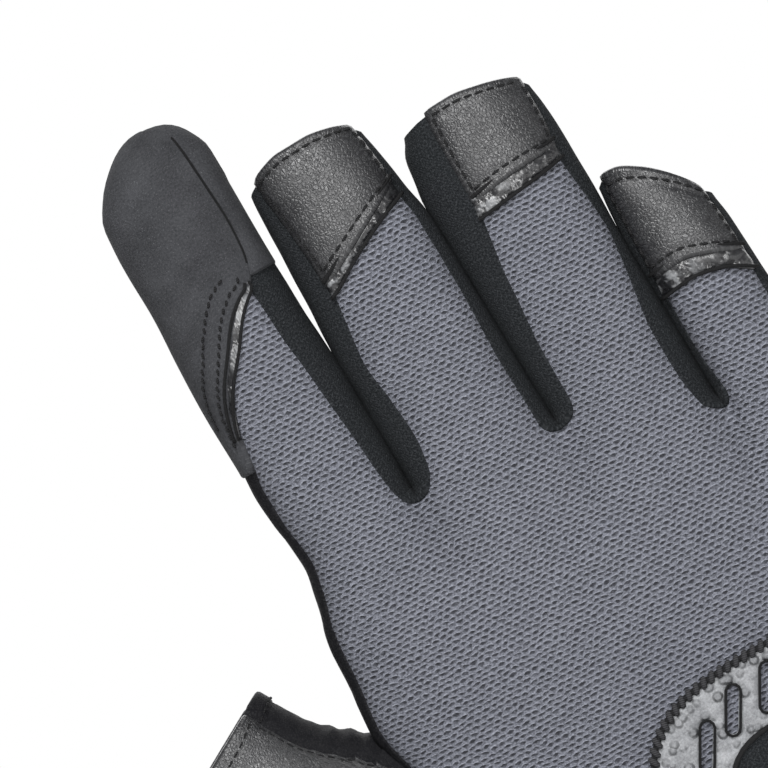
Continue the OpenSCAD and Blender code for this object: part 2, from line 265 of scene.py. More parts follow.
def make(name, v, faces, material, uv):
    """A mesh piece, with its flat coordinates in centimetres."""
    mesh = bpy.data.meshes.new(name)
    mesh.from_pydata((np.asarray(v) * MM).tolist(), [], faces)
    layer = mesh.uv_layers.new(name="Flat")
    corner = np.empty(len(mesh.loops), np.int32)
    mesh.loops.foreach_get("vertex_index", corner)
    layer.data.foreach_set("uv", (uv[corner] / 10).astype(np.float32).ravel())
    mesh.polygons.foreach_set("use_smooth", [True] * len(mesh.polygons))
    mesh.update()
    mesh.validate()
    obj = bpy.data.objects.new(name, mesh)
    bpy.context.scene.collection.objects.link(obj)
    obj.data.materials.append(material)
    return obj


def shell(name, cloth, material, slot, t=FABRIC, bulge=0.35):
    """A solid of thickness t below a cloth, with rounded edges."""
    v, n, f, uv = cloth.v, cloth.n, cloth.f, cloth.uv
    count = len(v)
    edges = {}
    for q in f.tolist():
        ring = list(dict.fromkeys(q))
        for a, b in zip(ring, ring[1:] + ring[:1]):
            edges[(a, b)] = edges.get((a, b), 0) + 1
    rim = [(a, b) for (a, b) in edges if (b, a) not in edges]
    out = np.zeros((count, 3))
    for a, b in rim:
        side = np.cross(v[b] - v[a], (n[a] + n[b]) / 2)
        length = np.linalg.norm(side)
        if length > 1e-9:
            out[a] += side / length
            out[b] += side / length
    rim_v = sorted({a for e in rim for a in e})
    place = {a: k for k, a in enumerate(rim_v)}
    o = out[rim_v] / np.maximum(np.linalg.norm(out[rim_v], axis=1), 1e-9)[:, None]
    layers = [v, v - n * t]
    for down, away in ((0.0, 0.0), (0.16, 0.75), (0.5, 1.0), (0.84, 0.75), (1.0, 0.0)):
        layers.append(v[rim_v] - n[rim_v] * t * down + o * t * bulge * away)
    base = 2 * count
    width = len(rim_v)
    faces = [q for q in f.tolist()] + [[x + count for x in q[::-1]] for q in f.tolist()]
    for k in range(4):
        for a, b in rim:
            p, q = place[a], place[b]
            faces.append([base + (k + 1) * width + p, base + (k + 1) * width + q,
                          base + k * width + q, base + k * width + p])
    coords = np.vstack([uv, uv] + [uv[rim_v]] * 5)
    faces = [list(dict.fromkeys(q)) for q in faces]
    return make(name, np.vstack(layers), [q for q in faces if len(q) > 2], material, coords)


def tube(name, line, radius, material, sides=8, closed=False):
    """A round cord along a line of points."""
    p = np.asarray(line, float)
    d = np.gradient(p, axis=0) if not closed else np.roll(p, -1, 0) - np.roll(p, 1, 0)
    d /= np.maximum(np.linalg.norm(d, axis=1), 1e-9)[:, None]
    up = np.tile([0.0, -1.0, 0.0], (len(p), 1))
    up = up - d * np.sum(up * d, axis=1)[:, None]
    up /= np.maximum(np.linalg.norm(up, axis=1), 1e-9)[:, None]
    side = np.cross(d, up)
    rings = [p + side * radius * math.cos(a) + up * radius * math.sin(a)
             for a in np.linspace(0, 2 * math.pi, sides, endpoint=False)]
    v = np.stack(rings, axis=1).reshape(-1, 3)
    faces = []
    count = len(p)
    for i in range(count if closed else count - 1):
        j = (i + 1) % count
        for k in range(sides):
            m = (k + 1) % sides
            faces.append([i * sides + k, i * sides + m, j * sides + m, j * sides + k])
    if not closed:
        faces.append(list(range(sides))[::-1])
        faces.append([(count - 1) * sides + k for k in range(sides)])
    along = np.concatenate([[0], np.cumsum(np.linalg.norm(np.diff(p, axis=0), axis=1))])
    uv = np.array([[k * 0.8, along[i]] for i in range(count) for k in range(sides)])
    return make(name, v, faces, material, uv)


def walk(line, normals, pitch, start=0.5):
    """Points, directions and normals spaced pitch apart along a line."""
    p, n = np.asarray(line, float), np.asarray(normals, float)
    s = np.concatenate([[0], np.cumsum(np.linalg.norm(np.diff(p, axis=0), axis=1))])
    at = np.arange(pitch * start, s[-1] - pitch * 0.3, pitch)
    q = np.stack([np.interp(at, s, p[:, k]) for k in range(3)], axis=1)
    ahead = np.stack([np.interp(at + 0.2, s, p[:, k]) for k in range(3)], axis=1)
    behind = np.stack([np.interp(at - 0.2, s, p[:, k]) for k in range(3)], axis=1)
    m = np.stack([np.interp(at, s, n[:, k]) for k in range(3)], axis=1)
    d = ahead - behind
    d /= np.maximum(np.linalg.norm(d, axis=1), 1e-9)[:, None]
    m -= d * np.sum(m * d, axis=1)[:, None]
    m /= np.maximum(np.linalg.norm(m, axis=1), 1e-9)[:, None]
    return q, d, m


def stitches(name, rows, material, pitch=2.0, length=1.45, radius=0.2, turn=0.0, proud=0.06, seed=3):
    """Rows of short thread dashes. Each row is (points, normals)."""
    draw = Random(seed)
    verts, faces = [], []
    steps = ((-0.5, 0.25, -0.5), (-0.36, 0.85, 0.25), (0, 1.0, 0.6), (0.36, 0.85, 0.25), (0.5, 0.25, -0.5))
    sides = 6
    for line, normals in rows:
        for p, d, n in zip(*walk(line, normals, pitch)):
            angle = turn + draw.uniform(-0.05, 0.05)
            across = np.cross(n, d)
            go = d * math.cos(angle) + across * math.sin(angle)
            side = np.cross(n, go)
            base = len(verts)
            for along, thick, up in steps:
                centre = p + go * length * along + n * (proud + up * radius * 0.6)
                for k in range(sides):
                    a = 2 * math.pi * k / sides
                    verts.append(centre + (side * math.cos(a) + n * math.sin(a)) * radius * thick)
            for i in range(len(steps) - 1):
                for k in range(sides):
                    m = (k + 1) % sides
                    faces.append([base + i * sides + k, base + i * sides + m,
                                  base + (i + 1) * sides + m, base + (i + 1) * sides + k])
            faces.append([base + k for k in range(sides)][::-1])
            faces.append([base + (len(steps) - 1) * sides + k for k in range(sides)])
    v = np.array(verts)
    return make(name, v, faces, material, v[:, [0, 2]])


# ---------------------------------------------------------------- materials

class Nodes:
    """A short way to write a material's nodes."""

    def __init__(self, name, colour, rough, **sockets):
        self.material = bpy.data.materials.new(name)
        self.material.use_nodes = True
        self.tree = self.material.node_tree
        self.shader = self.tree.nodes["Principled BSDF"]
        self.shader.inputs["Base Color"].default_value = (*colour, 1)
        self.shader.inputs["Roughness"].default_value = rough
        for key, value in sockets.items():
            self.shader.inputs[key.replace("_", " ")].default_value = value

    def put(self, value, socket):
        if isinstance(value, bpy.types.NodeSocket):
            self.tree.links.new(value, socket)
        elif value is not None:
            socket.default_value = value

    def math(self, operation, a, b=0.0):
        node = self.tree.nodes.new("ShaderNodeMath")
        node.operation = operation
        self.put(a, node.inputs[0])
        self.put(b, node.inputs[1])
        return node.outputs[0]

    def flat(self):
        """The cloth's own flat coordinates, in millimetres."""
        uv = self.tree.nodes.new("ShaderNodeUVMap")
        uv.uv_map = "Flat"
        scale = self.tree.nodes.new("ShaderNodeVectorMath")
        scale.operation = "SCALE"
        self.put(uv.outputs[0], scale.inputs[0])
        scale.inputs["Scale"].default_value = 10
        return scale.outputs[0]

    def xy(self, vector):
        node = self.tree.nodes.new("ShaderNodeSeparateXYZ")
        self.put(vector, node.inputs[0])
        return node.outputs[0], node.outputs[1]

    def noise(self, vector, scale, detail=3.0, rough=0.55):
        node = self.tree.nodes.new("ShaderNodeTexNoise")
        self.put(vector, node.inputs["Vector"])
        node.inputs["Scale"].default_value = scale
        node.inputs["Detail"].default_value = detail
        node.inputs["Roughness"].default_value = rough
        return node.outputs["Fac"]

    def cells(self, vector, scale, feature="F1", smoothness=None):
        node = self.tree.nodes.new("ShaderNodeTexVoronoi")
        node.feature = feature
        self.put(vector, node.inputs["Vector"])
        node.inputs["Scale"].default_value = scale
        if smoothness is not None:
            node.inputs["Smoothness"].default_value = smoothness
        return node.outputs["Distance"]

    def step(self, value, low, high, to_low=0.0, to_high=1.0):
        node = self.tree.nodes.new("ShaderNodeMapRange")
        node.interpolation_type = "SMOOTHSTEP"
        for k, x in enumerate((value, low, high, to_low, to_high)):
            self.put(x, node.inputs[k])
        return node.outputs[0]

    def mix(self, factor, a, b):
        node = self.tree.nodes.new("ShaderNodeMix")
        node.data_type = "RGBA"
        self.put(factor, node.inputs[0])
        self.put((*a, 1) if isinstance(a, tuple) else a, node.inputs[6])
        self.put((*b, 1) if isinstance(b, tuple) else b, node.inputs[7])
        return node.outputs[2]

    def bump(self, height, distance, strength=1.0):
        node = self.tree.nodes.new("ShaderNodeBump")
        node.inputs["Strength"].default_value = strength
        node.inputs["Distance"].default_value = distance
        self.put(height, node.inputs["Height"])
        return node.outputs[0]

    def end(self, colour=None, rough=None, normal=None):
        for value, key in ((colour, "Base Color"), (rough, "Roughness"), (normal, "Normal")):
            if value is not None:
                self.put(value, self.shader.inputs[key])
        return self.material


def mesh_fabric():
    """A grey knitted mesh: offset rows of small pits, coloured dark as painted shade, with a lattice of
    raised yarn between them and a painted highlight on the lip above each pit.
    """
    m = Nodes("mesh_fabric", (0.1, 0.1, 0.12), 0.85, Specular_IOR_Level=0.3)
    flat = m.flat()
    u, v = m.xy(flat)
    u = m.math("ADD", u, m.math("MULTIPLY", m.noise(flat, 0.45, 2), 1.1))
    v = m.math("ADD", v, m.math("MULTIPLY", m.noise(flat, 0.3, 2), 1.2))
    pitch_u, pitch_v = 1.65, 0.95
    row = m.math("FLOOR", m.math("DIVIDE", v, pitch_v))
    odd = m.math("MULTIPLY", m.math("MODULO", m.math("ADD", row, 2000.0), 2.0), 0.5)
    fu = m.math("SUBTRACT", m.math("FRACT", m.math("ADD", m.math("DIVIDE", u, pitch_u), odd)), 0.5)
    fv = m.math("SUBTRACT", m.math("FRACT", m.math("DIVIDE", v, pitch_v)), 0.5)
    lean = m.math("ADD", fv, m.math("MULTIPLY", fu, 0.12))
    a = m.math("POWER", m.math("ABSOLUTE", m.math("DIVIDE", fu, 0.42)), 1.3)
    b = m.math("POWER", m.math("ABSOLUTE", m.math("DIVIDE", lean, 0.3)), 1.3)
    yarn = m.noise(flat, 2.4, 4, 0.65)
    uneven = m.noise(flat, 0.9, 2)
    # The pits sink in the bump, and their dark colour is painted shade in the recesses.
    pit_and_painted_shade = m.step(m.math("ADD", a, b), 1.35, 0.25)
    pit_and_painted_shade = m.math("MULTIPLY", pit_and_painted_shade, m.step(uneven, 0.25, 0.65, 0.45, 1.0))
    patchy = m.noise(flat, 0.1, 3)
    low_yarn = m.mix(patchy, (0.042, 0.044, 0.054), (0.06, 0.063, 0.076))
    high_yarn = m.mix(patchy, (0.14, 0.147, 0.175), (0.19, 0.197, 0.23))
    ground = m.mix(m.step(yarn, 0.3, 0.72), low_yarn, high_yarn)
    # Painted highlight: the lip just above each pit is lightened, as if lit from above.
    lip = m.step(m.math("ABSOLUTE", m.math("SUBTRACT", lean, 0.4)), 0.2, 0.0)
    lip = m.math("MULTIPLY", lip, m.step(m.math("ABSOLUTE", fu), 0.42, 0.2))
    ground = m.mix(m.math("MULTIPLY", lip, 0.5), ground, (0.25, 0.26, 0.3))
    colour = m.mix(pit_and_painted_shade, ground, (0.016, 0.017, 0.022))
    height = m.math("SUBTRACT", m.math("MULTIPLY", yarn, 0.6), pit_and_painted_shade)
    return m.end(colour, None, m.bump(height, 0.0007, 1.0))


def leather(name, dark, light, grain, rough, depth_mm=0.12, creases=0.0, shine=0.5):
    """Pebbled leather: small rounded cells with fine valleys, coloured dark as painted shade, and soft folds
    if creases is set.
    """
    m = Nodes(name, light, rough, Specular_IOR_Level=shine)
    flat = m.flat()
    warp = m.tree.nodes.new("ShaderNodeVectorMath")
    warp.operation = "ADD"
    m.put(flat, warp.inputs[0])
    colour_noise = m.tree.nodes.new("ShaderNodeTexNoise")
    m.put(flat, colour_noise.inputs["Vector"])
    colour_noise.inputs["Scale"].default_value = 0.8
    m.put(colour_noise.outputs["Color"], warp.inputs[1])
    edge = m.cells(warp.outputs[0], 1 / grain, "DISTANCE_TO_EDGE")
    pebble = m.step(edge, 0.0, 0.28)
    fine = m.noise(flat, 5.0, 4)
    wide = m.noise(flat, 0.15, 3)
    # Painted shade: the valleys between the pebbles take the dark colour, the pebble tops the light one.
    colour = m.mix(m.math("MULTIPLY", pebble, m.step(fine, 0.2, 0.8, 0.6, 1.0)), dark, light)
    height = m.math("ADD", pebble, m.math("MULTIPLY", fine, 0.4))
    height = m.math("ADD", height, m.math("MULTIPLY", m.noise(flat, 0.5, 2), creases))
    worn = m.step(wide, 0.3, 0.7, rough - 0.06, rough + 0.08)
    worn = m.math("ADD", worn, m.math("MULTIPLY", pebble, -0.06))
    return m.end(colour, worn, m.bump(height, depth_mm * MM, 1.0))


def suede():
    """Brushed suede: a fine nap with pale specks."""
    m = Nodes("suede", (0.03, 0.03, 0.032), 0.95, Specular_IOR_Level=0.25)
    flat = m.flat()
    nap = m.noise(flat, 2.2, 5, 0.75)
    cloud = m.noise(flat, 0.12, 3)
    shade = m.math("ADD", m.math("MULTIPLY", nap, 0.65), m.math("MULTIPLY", cloud, 0.35))
    colour = m.mix(m.step(shade, 0.28, 0.72), (0.009, 0.0095, 0.011), (0.04, 0.041, 0.045))
    specks = m.step(m.noise(flat, 4.0, 2, 0.6), 0.6, 0.72, 0.0, 0.5)
    colour = m.mix(specks, colour, (0.12, 0.122, 0.128))
    return m.end(colour, None, m.bump(nap, 0.00018, 1.0))


def knit(name, dark, light, pitch=0.8):
    """Brushed knit: fine ribs almost hidden by a nap."""
    m = Nodes(name, dark, 0.95, Specular_IOR_Level=0.12)
    flat = m.flat()
    u, v = m.xy(flat)
    ribs = m.math("SINE", m.math("MULTIPLY", u, 2 * math.pi / pitch))
    loops = m.math("SINE", m.math("MULTIPLY", v, 2 * math.pi / (pitch * 0.75)))
    loops = m.math("MULTIPLY", ribs, loops)
    nap = m.noise(flat, 2.4, 5, 0.75)
    height = m.math("ADD", m.math("MULTIPLY", loops, 0.25), nap)
    colour = m.mix(m.step(nap, 0.42, 0.75), dark, light)
    return m.end(colour, None, m.bump(height, 0.0002, 1.0))


def woven(name, dark, light, pitch=0.9, rough=0.8, sheen=0.15):
    """Plain-woven tape."""
    m = Nodes(name, dark, rough, Sheen_Weight=sheen, Specular_IOR_Level=0.2)
    flat = m.flat()
    u, v = m.xy(flat)
    a = m.math("SINE", m.math("MULTIPLY", u, 2 * math.pi / pitch))
    b = m.math("SINE", m.math("MULTIPLY", v, 2 * math.pi / pitch))
    weave = m.math("MULTIPLY", a, b)
    fine = m.noise(flat, 4.0, 3)
    colour = m.mix(m.step(m.math("ADD", weave, fine), 0.1, 1.2), dark, light)
    return m.end(colour, None, m.bump(m.math("ADD", weave, fine), 0.0002, 0.9))


def gloss():
    """Crinkled glossy film, dark, with lighter facets near the start of each strip that are painted
    reflections.
    """
    m = Nodes("gloss_trim", (0.03, 0.03, 0.033), 0.3, Coat_Weight=0.35, Coat_Roughness=0.25,
              Specular_IOR_Level=0.5)
    flat = m.flat()
    facets = m.cells(flat, 0.42, "SMOOTH_F1", 0.35)
    waves = m.noise(flat, 0.45, 2)
    u, _ = m.xy(flat)
    # Painted reflection: lighter facets, full up to 4 mm along the strip and fading out by 11 mm (the left
    # end on the finger trims).
    painted_reflection = m.math("MULTIPLY", m.step(waves, 0.46, 0.6), m.step(u, 4.0, 11.0, 1.0, 0.06))
    colour = m.mix(painted_reflection, (0.009, 0.009, 0.01), (0.115, 0.118, 0.123))
    height = m.math("ADD", facets, m.math("MULTIPLY", waves, 1.6))
    return m.end(colour, m.step(waves, 0.3, 0.7, 0.26, 0.4), m.bump(height, 0.0011, 0.7))


def rubber(name, dark, light, rough=0.6, pebble=2.3):
    """Matt rubber with round pebbles about pebble millimetres apart, each darkened as painted shade."""
    m = Nodes(name, light, rough, Specular_IOR_Level=0.25)
    flat = m.flat()
    fine = m.noise(flat, 2.4, 5, 0.75)
    cloud = m.noise(flat, 0.25, 3)
    shade = m.math("ADD", m.math("MULTIPLY", fine, 0.6), m.math("MULTIPLY", cloud, 0.4))
    colour = m.mix(m.step(shade, 0.3, 0.7), dark, light)
    pebbles_and_painted_shade = m.step(m.cells(flat, 1 / pebble), 0.5, 0.22)
    height = m.math("ADD", pebbles_and_painted_shade, m.math("MULTIPLY", fine, 0.25))
    # Painted shade: each pebble is darkened a third of the way towards the dark colour.
    colour = m.mix(m.math("MULTIPLY", pebbles_and_painted_shade, 0.35), colour, dark)
    return m.end(colour, m.step(cloud, 0.3, 0.7, rough - 0.08, rough + 0.08), m.bump(height, 0.0009, 1.0))


def thread(name, dark, light):
    """Twisted thread."""
    m = Nodes(name, light, 0.8, Specular_IOR_Level=0.12)
    flat = m.flat()
    u, v = m.xy(flat)
    twist = m.math("SINE", m.math("MULTIPLY", m.math("ADD", u, v), 2 * math.pi / 0.45))
    colour = m.mix(m.step(twist, -1, 1), dark, light)
    return m.end(colour, None, m.bump(twist, 0.00006, 0.8))


MESH = mesh_fabric()
CAP = leather("cap_leather", (0.008, 0.008, 0.009), (0.026, 0.0265, 0.028), 0.66, 0.44, 0.065, 0.5, 0.6)
PALM_LEATHER = leather("palm_leather", (0.007, 0.007, 0.008), (0.045, 0.0455, 0.048),
                       0.85, 0.6, 0.12, 1.2, 0.4)
SMOOTH_LEATHER = leather("smooth_leather", (0.005, 0.005, 0.006), (0.014, 0.014, 0.015),
                         0.5, 0.75, 0.03, 0.6, 0.06)
PAD = leather("palm_pad", (0.03, 0.03, 0.032), (0.1, 0.101, 0.105), 0.5, 0.85, 0.07, 0.3, 0.2)
SUEDE = suede()
KNIT = knit("stretch_knit", (0.006, 0.007, 0.008), (0.036, 0.039, 0.042))
GLOSS = gloss()
TAB_RUBBER = rubber("tab_rubber", (0.05, 0.051, 0.054), (0.12, 0.122, 0.126), 0.5, 0.9)
GRIP = rubber("grip_patch", (0.11, 0.113, 0.119), (0.29, 0.296, 0.305))
BINDING = woven("binding", (0.012, 0.012, 0.013), (0.045, 0.045, 0.048), 0.7)
EDGE_THREAD = thread("edge_thread", (0.01, 0.01, 0.011), (0.045, 0.045, 0.048))
GREY_THREAD = thread("grey_thread", (0.02, 0.02, 0.021), (0.07, 0.07, 0.074))
BLACK_THREAD = thread("black_thread", (0.004, 0.004, 0.004), (0.018, 0.018, 0.019))
NEOPRENE = knit("neoprene", (0.012, 0.012, 0.013), (0.04, 0.04, 0.043), 0.6)
WEBBING = woven("webbing", (0.012, 0.012, 0.013), (0.05, 0.05, 0.053), 1.3)
LOOP_PILE = knit("loop_pile", (0.01, 0.01, 0.01), (0.045, 0.045, 0.047), 1.1)
HOOK = woven("hook_tape", (0.01, 0.01, 0.01), (0.05, 0.05, 0.05), 1.0, 0.5, 0.0)


# ---------------------------------------------------------------- surfaces of the glove

def rows_to(*stops):
    """Heights from one stop to the next: (z, step), (z, step), ... and the last z."""
    out = []
    for (a, step), b in zip(stops[:-1], [s[0] for s in stops[1:]]):
        n = max(1, round((b - a) / step))
        out += list(np.linspace(a, b, n, endpoint=False))
    return np.array(out + [stops[-1][0]])


def on_glove(f, x, z, side):
    """Points on the back (side -1) or palm (side 1) of finger f and of the hand below it."""
    x, z = np.broadcast_arrays(np.asarray(x, float), np.asarray(z, float))
    return np.stack([x, side * depth(f, x, z, side), z], axis=-1)


def patch(f, low, high, left, right, side, cols, rows):
    """A grid between two seams and between a low and a high edge, given as functions of x."""
    s = np.linspace(0, 1, cols + 1)[None, :]
    r = np.linspace(0, 1, rows + 1)[:, None]
    z = np.full((rows + 1, cols + 1), 0.0) + (low(np.zeros(1)) + high(np.zeros(1))) / 2
    x = z * 0
    for _ in range(12):
        x = left(z) + (right(z) - left(z)) * s
        z = z * 0.3 + (low(x) * (1 - r) + high(x) * r) * 0.7
    return grid(on_glove(f, x, z, side), np.stack([x, z], axis=-1))


def ribbon(dorsal, palm, middle, cols=10, power=FINGER_ROUND):
    """A strip that bulges from a seam on the back, through its middle line, to a seam on the palm."""
    t = np.linspace(-1, 1, cols + 1)[None, :, None]
    d, p, m = (np.asarray(a, float)[:, None, :] for a in (dorsal, palm, middle))
    e = np.where(t < 0, d - m, p - m)
    pull = np.abs(t)
    share = np.concatenate([pull**power, pull, pull**power], axis=2)
    return grid(m + e * share)


def ride(piece, body, *nodes):
    """Rides a piece on a body. It stands in for the CAD nodes named, if any."""
    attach(piece, body)
    if nodes:
        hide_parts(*nodes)


def join_finger(piece, f, part, *nodes):
    """Fixes a piece where it was made, without blending it over a joint, and hides the CAD nodes named; f is
    not used. A part called hand rides the hand.
    """
    if part == "hand":
        return ride(piece, "hand", *nodes)
    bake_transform(piece)
    if nodes:
        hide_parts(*nodes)


def nearest(cloth, line):
    """The cloth's vertices nearest to a line of points."""
    return ((line[:, None, :] - cloth.v[None]) ** 2).sum(2).argmin(1)


def pillow(cloth, seams, depth_mm=0.7, width=1.6, crown=0.25, reach=9.0):
    """Sinks the cloth along its seams and crowns it between them."""
    d = apart(cloth.v, np.vstack(seams))
    cloth.lift(crown * smooth(0, reach, d) - depth_mm * np.exp(-((d / width) ** 1.4)))
    return cloth


def middle_of(f, z):
    """A point inside finger f at height z."""
    return np.array([(f.left(150.0) + f.right(150.0)) / 2, 0, z])


def axis_of(f, v):
    """Points on the finger's axis level with each vertex."""
    z = v[:, 2]
    return np.stack([(f.left(z) + f.right(z)) / 2, z * 0, z], axis=-1)


def edge_line(f, z, side, which):
    """The x of a panel's left or right edge on finger f: seams above the crotch, a shared line below it."""
    z = np.asarray(z, float)
    i = FINGERS.index(f) + (0 if which == "right" else -1)
    seam = {(-1, "left"): f.dl, (-1, "right"): f.dr, (1, "left"): f.pl, (1, "right"): f.pr}[(side, which)](z)
    if i < 0 or i > 2:
        return seam
    zc = f.crotch[1] if which == "right" else f.crotch[0]
    meet = BETWEEN[i](z)
    open_up = np.sqrt(1 - (1 - np.clip((z - zc) / 2.6, 0, 1)) ** 2)
    return np.where(z <= zc, meet, BETWEEN[i](zc) + (seam - BETWEEN[i](zc)) * open_up)


HAND_CENTRE = np.array([0.0, 0.0, 95.0])
HAND_ROWS = np.unique(np.concatenate([
    np.arange(56, 104, 3.0), np.arange(104, 114, 1.5), np.arange(114, 133, 0.5),
    [117.12, 117.3, 129.12, 129.3, 131.12, 131.3, 132.5],
]))


def hand_panel(side):
    """The whole back or palm of the hand, up to the roots of the fingers, and its seam lines."""
    strips, seams = [], []
    before = None
    s = np.linspace(0, 1, 25)[None, :]
    for f in FINGERS:
        z = HAND_ROWS[HAND_ROWS <= f.z_hand][:, None]
        left, right = edge_line(f, z, side, "left"), edge_line(f, z, side, "right")
        x = left + (right - left) * s
        p = on_glove(f, x, z, side)
        if before is not None:
            zc = f.crotch[0]
            n = int(np.sum(z[:, 0] <= zc))
            n = min(n, len(before))
            p[:n, 0] = before[:n, -1]
        strips.append(grid(p, p[:, :, [0, 2]]))
        for which, col, zc in (("left", 0, f.crotch[0]), ("right", -1, f.crotch[1])):
            whole = (f is INDEX and which == "left") or (f is LITTLE and which == "right")
            seams.append(p[:, col] if whole else p[z[:, 0] >= zc, col])
        seams.append(p[0])
        before = p
    cloth = join(*strips).weld()
    cloth.face_outward(HAND_CENTRE)
    return cloth, seams


def even_rows(a, b, step):
    return np.linspace(a, b, max(2, int((b - a) / step)) + 1)


def finger_panel(f, a, b, side, cols=20):
    """The back or palm of a finger between two heights, with its seams."""
    z = even_rows(a, b, 1.6)[:, None]
    s = np.linspace(0, 1, cols + 1)[None, :]
    left, right = edge_line(f, z, side, "left"), edge_line(f, z, side, "right")
    x = left + (right - left) * s
    p = on_glove(f, x, z, side)
    cloth = grid(p, p[:, :, [0, 2]])
    cloth.face_outward(axis_of(f, cloth.v))
    return cloth, [p[:, 0], p[:, -1]]


def side_strip(f, z, which):
    """The back seam, middle line and palm seam of a finger's side, at heights z."""
    out = (f.left if which == "left" else f.right)(z)
    dorsal = on_glove(f, edge_line(f, z, -1, which), z, -1)
    palmar = on_glove(f, edge_line(f, z, 1, which), z, 1)
    return dorsal, np.stack([out, z * 0, z], axis=-1), palmar


KNIT_SIDE = (KNIT, "stretch_knit")
LEATHER_SIDE = (SMOOTH_LEATHER, "palm_leather")


def side_piece(name, f, strip, part, node, centre, material=KNIT_SIDE):
    """The side of a finger, from its back seam through its middle line to its palm seam."""
    dorsal, middle, palmar = strip
    cloth = ribbon(dorsal, palmar, middle)
    cloth.face_outward(centre)
    pillow(cloth, [dorsal, palmar], 0.45, 1.2, 0.2, 4.0)
    cloth.lift(0.12 * ripple(cloth.v, 6.0, 4.0))
    join_finger(shell(name, cloth, *material, 1.0), f, part, node)


def mesh_panel(name, cloth, seams, sink=0.75, width=1.5):
    """A panel of grey mesh, sunk along its seams."""
    pillow(cloth, seams, sink, width, 0.35, 12.0)
    cloth.lift(0.35 * ripple(cloth.v, 19.0, 1.0) + 0.12 * ripple(cloth.v, 7.0, 2.0))
    return shell(name, cloth, MESH, "mesh_fabric")


def sink_leather(cloth, seams, sink=0.6, width=1.4):
    """Shapes a panel of palm leather, sunk along its seams."""
    pillow(cloth, seams, sink, width, 0.2, 8.0)
    cloth.lift(0.3 * ripple(cloth.v, 15.0, 7.0))


# ---------------------------------------------------------------- hand

ride(mesh_panel("back_mesh", *hand_panel(-1)), "hand", "back_panel")

palm, palm_seams = hand_panel(1)
pillow(palm, palm_seams, 0.6, 1.4, 0.2, 8.0)
for centre_z, lean, deep in ((108, 0.12, 0.9), (97, -0.1, 0.7), (84, -0.28, 0.6)):
    line = palm.v[:, 2] - centre_z - lean * palm.v[:, 0]
    inside = smooth(-44, -30, palm.v[:, 0]) * (1 - smooth(30, 44, palm.v[:, 0]))
    palm.lift(-deep * inside * np.exp(-((line / 1.8) ** 2)))
palm.lift(0.3 * ripple(palm.v, 15.0, 7.0))
ride(shell("palm_leather_panel", palm, PALM_LEATHER, "palm_leather"), "hand", "palm_panel")

z = rows_to((56, 2.5), (114, 1.2), (132.5,))
side_piece("inner_side", INDEX, side_strip(INDEX, z, "left"), "hand", "inner_side_panel", HAND_CENTRE,
           LEATHER_SIDE)
z = rows_to((56, 2.5), (108, 1.2), (120,))
side_piece("outer_side", LITTLE, side_strip(LITTLE, z, "right"), "hand", "outer_side_panel", HAND_CENTRE)

# Each crotch strip runs down one finger, under the crotch and up the next.
WEBS = ("web_index_middle", "web_middle_ring", "web_ring_little")
CROTCH_STEPS = np.array([0.0, 0.05, 0.16, 0.35, 0.65, 1.05, 1.5, 2.0, 2.6, 3.3])
for i, name in enumerate(WEBS):
    f, g = FINGERS[i], FINGERS[i + 1]
    zc = f.crotch[1]
    parts = []
    for finger, which in ((f, "right"), (g, "left")):
        z = zc + CROTCH_STEPS
        top = finger.z_hand
        z = z[z < top]
        if top - z[-1] > 1.5:
            z = np.concatenate([z, np.arange(z[-1] + 1.2, top, 1.2)])
        z = np.append(z[z < top - 0.05], top)
        d, m, p = side_strip(finger, z, which)
        low = z < zc + 3.2
        m[low, 2] = np.maximum(m[low, 2], zc + 1.5 + 0.45 * (m[low, 2] - zc))
        parts.append((d, m, p))
    (d1, m1, p1), (d2, m2, p2) = parts
    strip = (np.vstack([d1[::-1], d2[1:]]), np.vstack([m1[::-1], m2[1:]]), np.vstack([p1[::-1], p2[1:]]))
    cloth = ribbon(strip[0], strip[2], strip[1])
    cloth.face_outward(np.array([BETWEEN[i](zc), 0.0, zc - 12.0]))
    pillow(cloth, [strip[0], strip[2]], 0.4, 1.1, 0.15, 4.0)
    at = apart(cloth.v, on_glove(f, BETWEEN[i](zc), zc + 0.6, -1))
    cloth.lift(0.7 * np.exp(-((at / 2.2) ** 2)))
    ride(shell(name, cloth, KNIT, "stretch_knit", 0.9), "hand", name)


# ---------------------------------------------------------------- fingers

TOPS = {
    "middle": dict(
        mesh=curve((-19.5, 170.8), (-17.9, 171.4), (-11.6, 175), (-4.2, 178.6), (1.7, 181.0)),
        cap=curve((-19.5, 172.8), (-17.6, 173.8), (-11.4, 177), (-5.2, 180.3), (0.4, 183.3), (1.6, 183.9)),
        end=curve((-21.8, 195), (-18.3, 196.7), (-13.9, 197.6), (-8.6, 197.6), (-3.7, 196.8), (0.7, 195.4))),
    "ring": dict(
        mesh=curve((11.3, 169.4), (19.5, 170.2), (27, 171.0), (30.6, 171.7)),
        cap=curve((12, 172.5), (20.4, 173.6), (28.7, 174.0), (31, 174.3)),
        end=curve((7, 189.6), (12.9, 190.4), (17.8, 190.4), (23.6, 189.4), (28.2, 188.2), (32, 186.8))),
    "little": dict(
        mesh=curve((32.8, 139.7), (38.8, 140.4), (44.4, 139.3), (49.1, 136.8), (50.2, 136.0)),
        cap=curve((32.8, 143.4), (38.8, 144.1), (45, 142.3), (49.5, 140.2), (50.3, 139.7)),
        end=curve((33.4, 164.1), (36.8, 163.8), (40.8, 161.7), (44.3, 158.7), (47.4, 155.2), (49.6, 152.0),
                  (50.6, 150.4))),
}
cap_rows, suede_rows = {}, {}


def sew(store, f, line, normals):
    """Keeps a row of stitching on finger f's tip, to be made with the others."""
    store.setdefault(f, []).append((line, normals))


